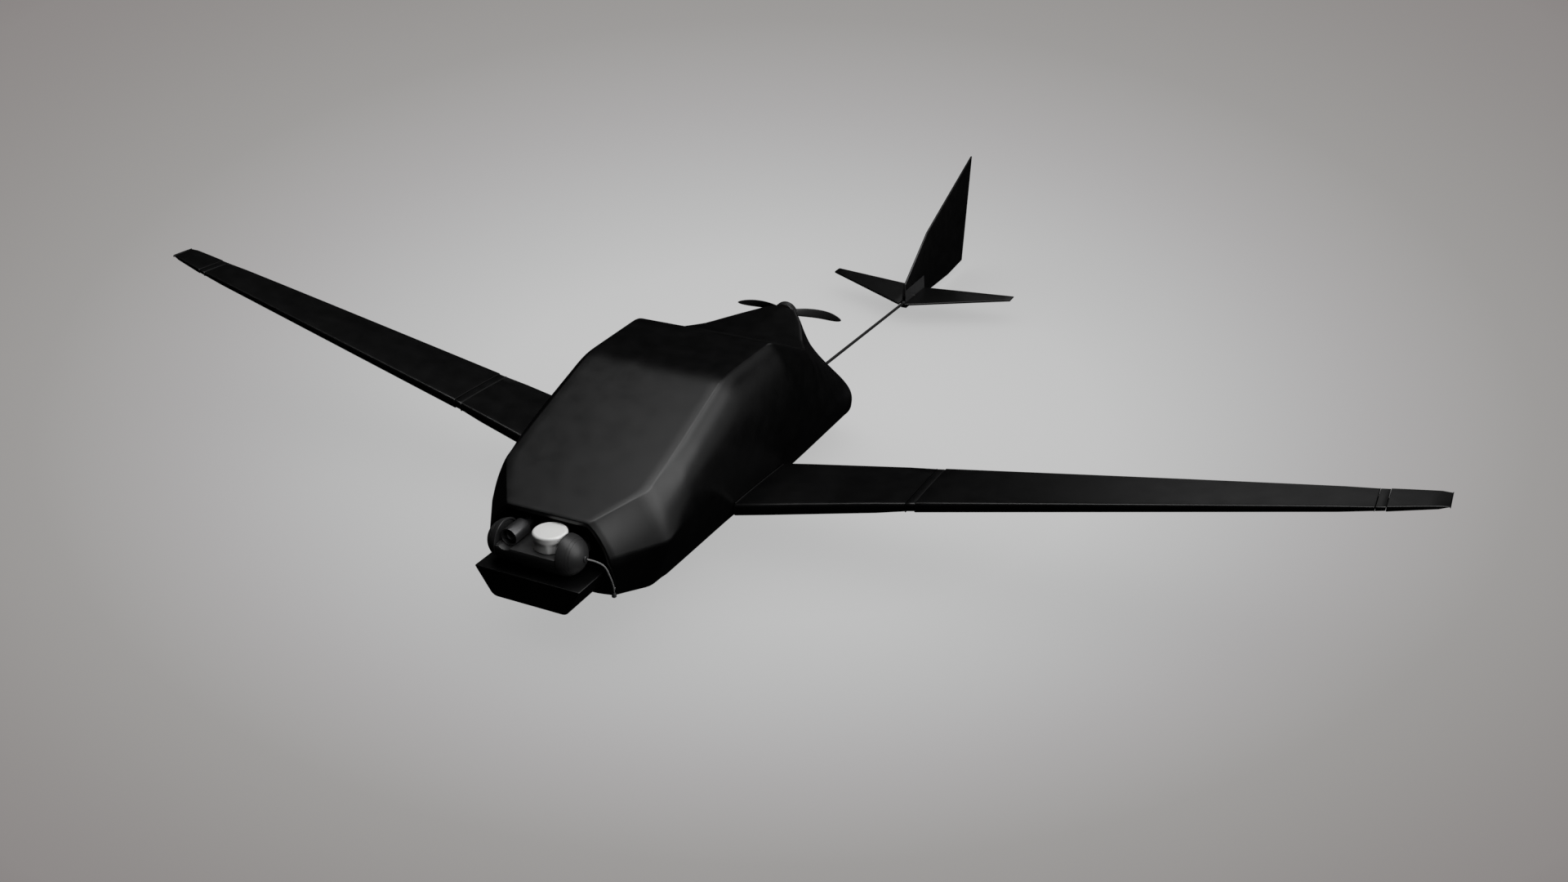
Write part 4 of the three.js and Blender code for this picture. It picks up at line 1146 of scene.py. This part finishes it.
def add_tail():
    front, rear, r, bore = BOOM["front"], BOOM["rear"], BOOM["r"], BOOM["bore"]
    wall = [(bore, front), (r, front)]
    wall += [(r, front + (rear - front) * k / 40) for k in range(1, 41)]
    wall.append((bore, rear))
    new_piece("boom_tube", *along_boom(wall, 64), "airframe", ["tail_boom"], "carbon_tube")
    softened("tail_block", 0.3, segments=2)
    start, end, sleeve_r = COLLAR["front"], COLLAR["rear"], COLLAR["radius"]
    sleeve = [(r + 0.15, start), (sleeve_r - 0.2, start), (sleeve_r, start + 0.2)]
    sleeve += [(sleeve_r, end), (r + 0.15, end)]
    new_piece("boom_collar", *along_boom(sleeve, 64), "airframe", slot=SLOT_OF["tail_block"])
    softened("fin", 0.35, segments=2)
    half = [stabiliser_ring(0.0, 0.45), stabiliser_ring(0.001, 0.12), stabiliser_ring(0.004)]
    half += [stabiliser_ring(k / 12) for k in range(1, 12)]
    half += [stabiliser_ring(0.994), stabiliser_ring(0.998, 0.2), stabiliser_ring(1.0, 0.55)]
    hole = rod("x", 0.95, 0, 16.5, (0, PIVOT_Y, TAIL_Z), 32)
    for side, turn in SIDES:
        body, node = f"tailplane_{side}", f"stabiliser_{side}"
        piece = new_piece(f"stabiliser_skin_{side}", *turn(skin(half)), body, [node], SLOT_OF[node])
        carve(piece, turn(hole))


add_tail()


# ---------------------------------------------------------------- plain inner parts
def add_inner_parts():
    for node in ("battery_tray", "flight_controller", "speed_controller", "radio_receiver", "servo_stand"):
        softened(node, 0.6)
    softened("battery", 3.0)
    softened("boom_socket", 0.8)
    for side in ("left", "right"):
        softened(f"dome_arm_{side}", 0.5)
        softened(f"tail_servo_{side}", 0.5)


add_inner_parts()


# ---------------------------------------------------------------- carried-over frame parts
def dress_frame():
    """Every CAD part gets its slot's material."""
    for name, part in NODES.items():
        part.data.materials.clear()
        part.data.materials.append(LOOKS[SLOT_OF[name]])


dress_frame()


# ---------------------------------------------------------------- stage
FLOOR_Z = -0.002
# The floor's painted pool of light: its centre, stretch, tones, depth and fall-off.
POOL_CENTRE = (0.019, 0.225, 0)
POOL_STRETCH = (2.169, 1.711, 1)
POOL_TONES = [
    (0.00, (0.600, 0.600, 0.600)),
    (0.27, (0.545, 0.545, 0.545)),
    (0.39, (0.479, 0.479, 0.479)),
    (0.51, (0.410, 0.400, 0.402)),
    (0.64, (0.345, 0.338, 0.330)),
    (0.91, (0.256, 0.238, 0.234)),
]
POOL_DEPTH = 2.04
POOL_NEAR = 0.4
POOL_REACH = 1.5
# Reach and tone of the floor's painted contact shadow.
SHADOW_REACH = 0.32
SHADOW_TONE = 0.80
FLOOR_REACH = 60.0
WORLD_STRENGTH = 0.0015


def floor_look():
    """A pale floor that glows with a painted pool of light stretching away behind the aeroplane, with a faint
    painted contact shadow.
    """
    made, tree, shader = node_material("floor")
    place = tree.nodes.new("ShaderNodeTexCoord")
    turn = tree.nodes.new("ShaderNodeMapping")
    turn.vector_type = "TEXTURE"
    turn.inputs["Location"].default_value = POOL_CENTRE
    turn.inputs["Rotation"].default_value = (0, 0, math.radians(CAMERA_AZIMUTH))
    turn.inputs["Scale"].default_value = tuple(1 / v for v in POOL_STRETCH)
    tree.links.new(place.outputs["Object"], turn.inputs["Vector"])
    length = tree.nodes.new("ShaderNodeVectorMath")
    length.operation = "LENGTH"
    tree.links.new(turn.outputs["Vector"], length.inputs[0])
    split = tree.nodes.new("ShaderNodeSeparateXYZ")
    tree.links.new(turn.outputs["Vector"], split.inputs["Vector"])
    depth = tree.nodes.new("ShaderNodeMath")
    depth.operation = "MULTIPLY_ADD"
    depth.inputs[1].default_value = 1 / POOL_STRETCH[1]
    depth.inputs[2].default_value = POOL_DEPTH
    tree.links.new(split.outputs["Y"], depth.inputs[0])
    front = tree.nodes.new("ShaderNodeMath")
    front.operation = "MAXIMUM"
    front.inputs[1].default_value = POOL_NEAR
    tree.links.new(depth.outputs["Value"], front.inputs[0])
    reach = tree.nodes.new("ShaderNodeMath")
    reach.operation = "DIVIDE"
    tree.links.new(length.outputs["Value"], reach.inputs[0])
    tree.links.new(front.outputs["Value"], reach.inputs[1])
    fall = tree.nodes.new("ShaderNodeMapRange")
    fall.inputs["From Max"].default_value = POOL_REACH
    tree.links.new(reach.outputs["Value"], fall.inputs["Value"])
    # Painted light: the glow's tone falls from the pool's bright middle to its dim edge.
    painted_pool_glow = tree.nodes.new("ShaderNodeValToRGB")
    painted_pool_glow.color_ramp.interpolation = "B_SPLINE"
    while len(painted_pool_glow.color_ramp.elements) < len(POOL_TONES):
        painted_pool_glow.color_ramp.elements.new(0.5)
    for element, (position, colour) in zip(painted_pool_glow.color_ramp.elements, POOL_TONES):
        element.position = position
        element.color = (*colour, 1)
    tree.links.new(fall.outputs["Result"], painted_pool_glow.inputs["Fac"])
    # Painted shadow: ambient occlusion dims the floor's glow where the aeroplane is near.
    painted_shadow = tree.nodes.new("ShaderNodeAmbientOcclusion")
    painted_shadow.samples = 8
    painted_shadow.inputs["Distance"].default_value = SHADOW_REACH
    lift = tree.nodes.new("ShaderNodeMapRange")
    lift.inputs["To Min"].default_value = SHADOW_TONE
    tree.links.new(painted_shadow.outputs["AO"], lift.inputs["Value"])
    tree.links.new(painted_pool_glow.outputs["Color"], shader.inputs["Emission Color"])
    tree.links.new(lift.outputs["Result"], shader.inputs["Emission Strength"])
    shader.inputs["Base Color"].default_value = (0.0, 0.0, 0.0, 1)
    shader.inputs["Specular IOR Level"].default_value = 0.0
    return made


def add_floor():
    """The floor, and far walls of the same tone round it."""
    far = FLOOR_REACH
    mesh = bpy.data.meshes.new("floor")
    square = [(-far, -far), (far, -far), (far, far), (-far, far)]
    walls = [(k, k + 4, (k + 1) % 4 + 4, (k + 1) % 4) for k in range(4)]
    mesh.from_pydata([(x, y, z) for z in (0, far) for x, y in square], [], [(0, 1, 2, 3)] + walls)
    floor = bpy.data.objects.new("floor", mesh)
    floor.location.z = FLOOR_Z
    bpy.context.collection.objects.link(floor)
    mesh.materials.append(floor_look())
    floor.visible_glossy = False
    floor.visible_diffuse = False


AIM = Vector((0, 0, 0.1))
DISTANCE = 5.0
# Name, bearing from +X towards +Y, height and half angle in degrees, and radiance.
LIGHTS = [
    ("overhead", 145, 75, 13, 4.0),
    ("top_right", 0, 72, 20, 3.5),
    ("right_wall", 0, 32, 28, 2.3),
    ("low_right", 24, 9, 26, 0.3),
    ("fill_right", 54, 48, 20, 0.35),
    ("behind", 97, 24, 9, 0.36),
]


def add_soft_light(name, bearing, height, spread, radiance):
    """A round area light that faces the aeroplane from a bearing and a height."""
    radius = DISTANCE * math.tan(math.radians(spread))
    data = bpy.data.lights.new(name, "AREA")
    data.shape = "DISK"
    data.size = 2 * radius
    data.energy = radiance * math.pi * math.pi * radius**2
    light = bpy.data.objects.new(name, data)
    turn, lift = math.radians(bearing), math.radians(height)
    away = Vector((math.cos(turn) * math.cos(lift), math.sin(turn) * math.cos(lift), math.sin(lift)))
    light.location = AIM + away * DISTANCE
    light.rotation_euler = (-away).to_track_quat("-Z", "Y").to_euler()
    bpy.context.collection.objects.link(light)


def add_world():
    world = bpy.data.worlds.new("studio")
    world.use_nodes = True
    world.node_tree.nodes["Background"].inputs["Color"].default_value = (1, 1, 1, 1)
    world.node_tree.nodes["Background"].inputs["Strength"].default_value = WORLD_STRENGTH
    bpy.context.scene.world = world


add_floor()
add_world()
for row in LIGHTS:
    add_soft_light(*row)
bpy.context.scene.view_settings.view_transform = "Standard"
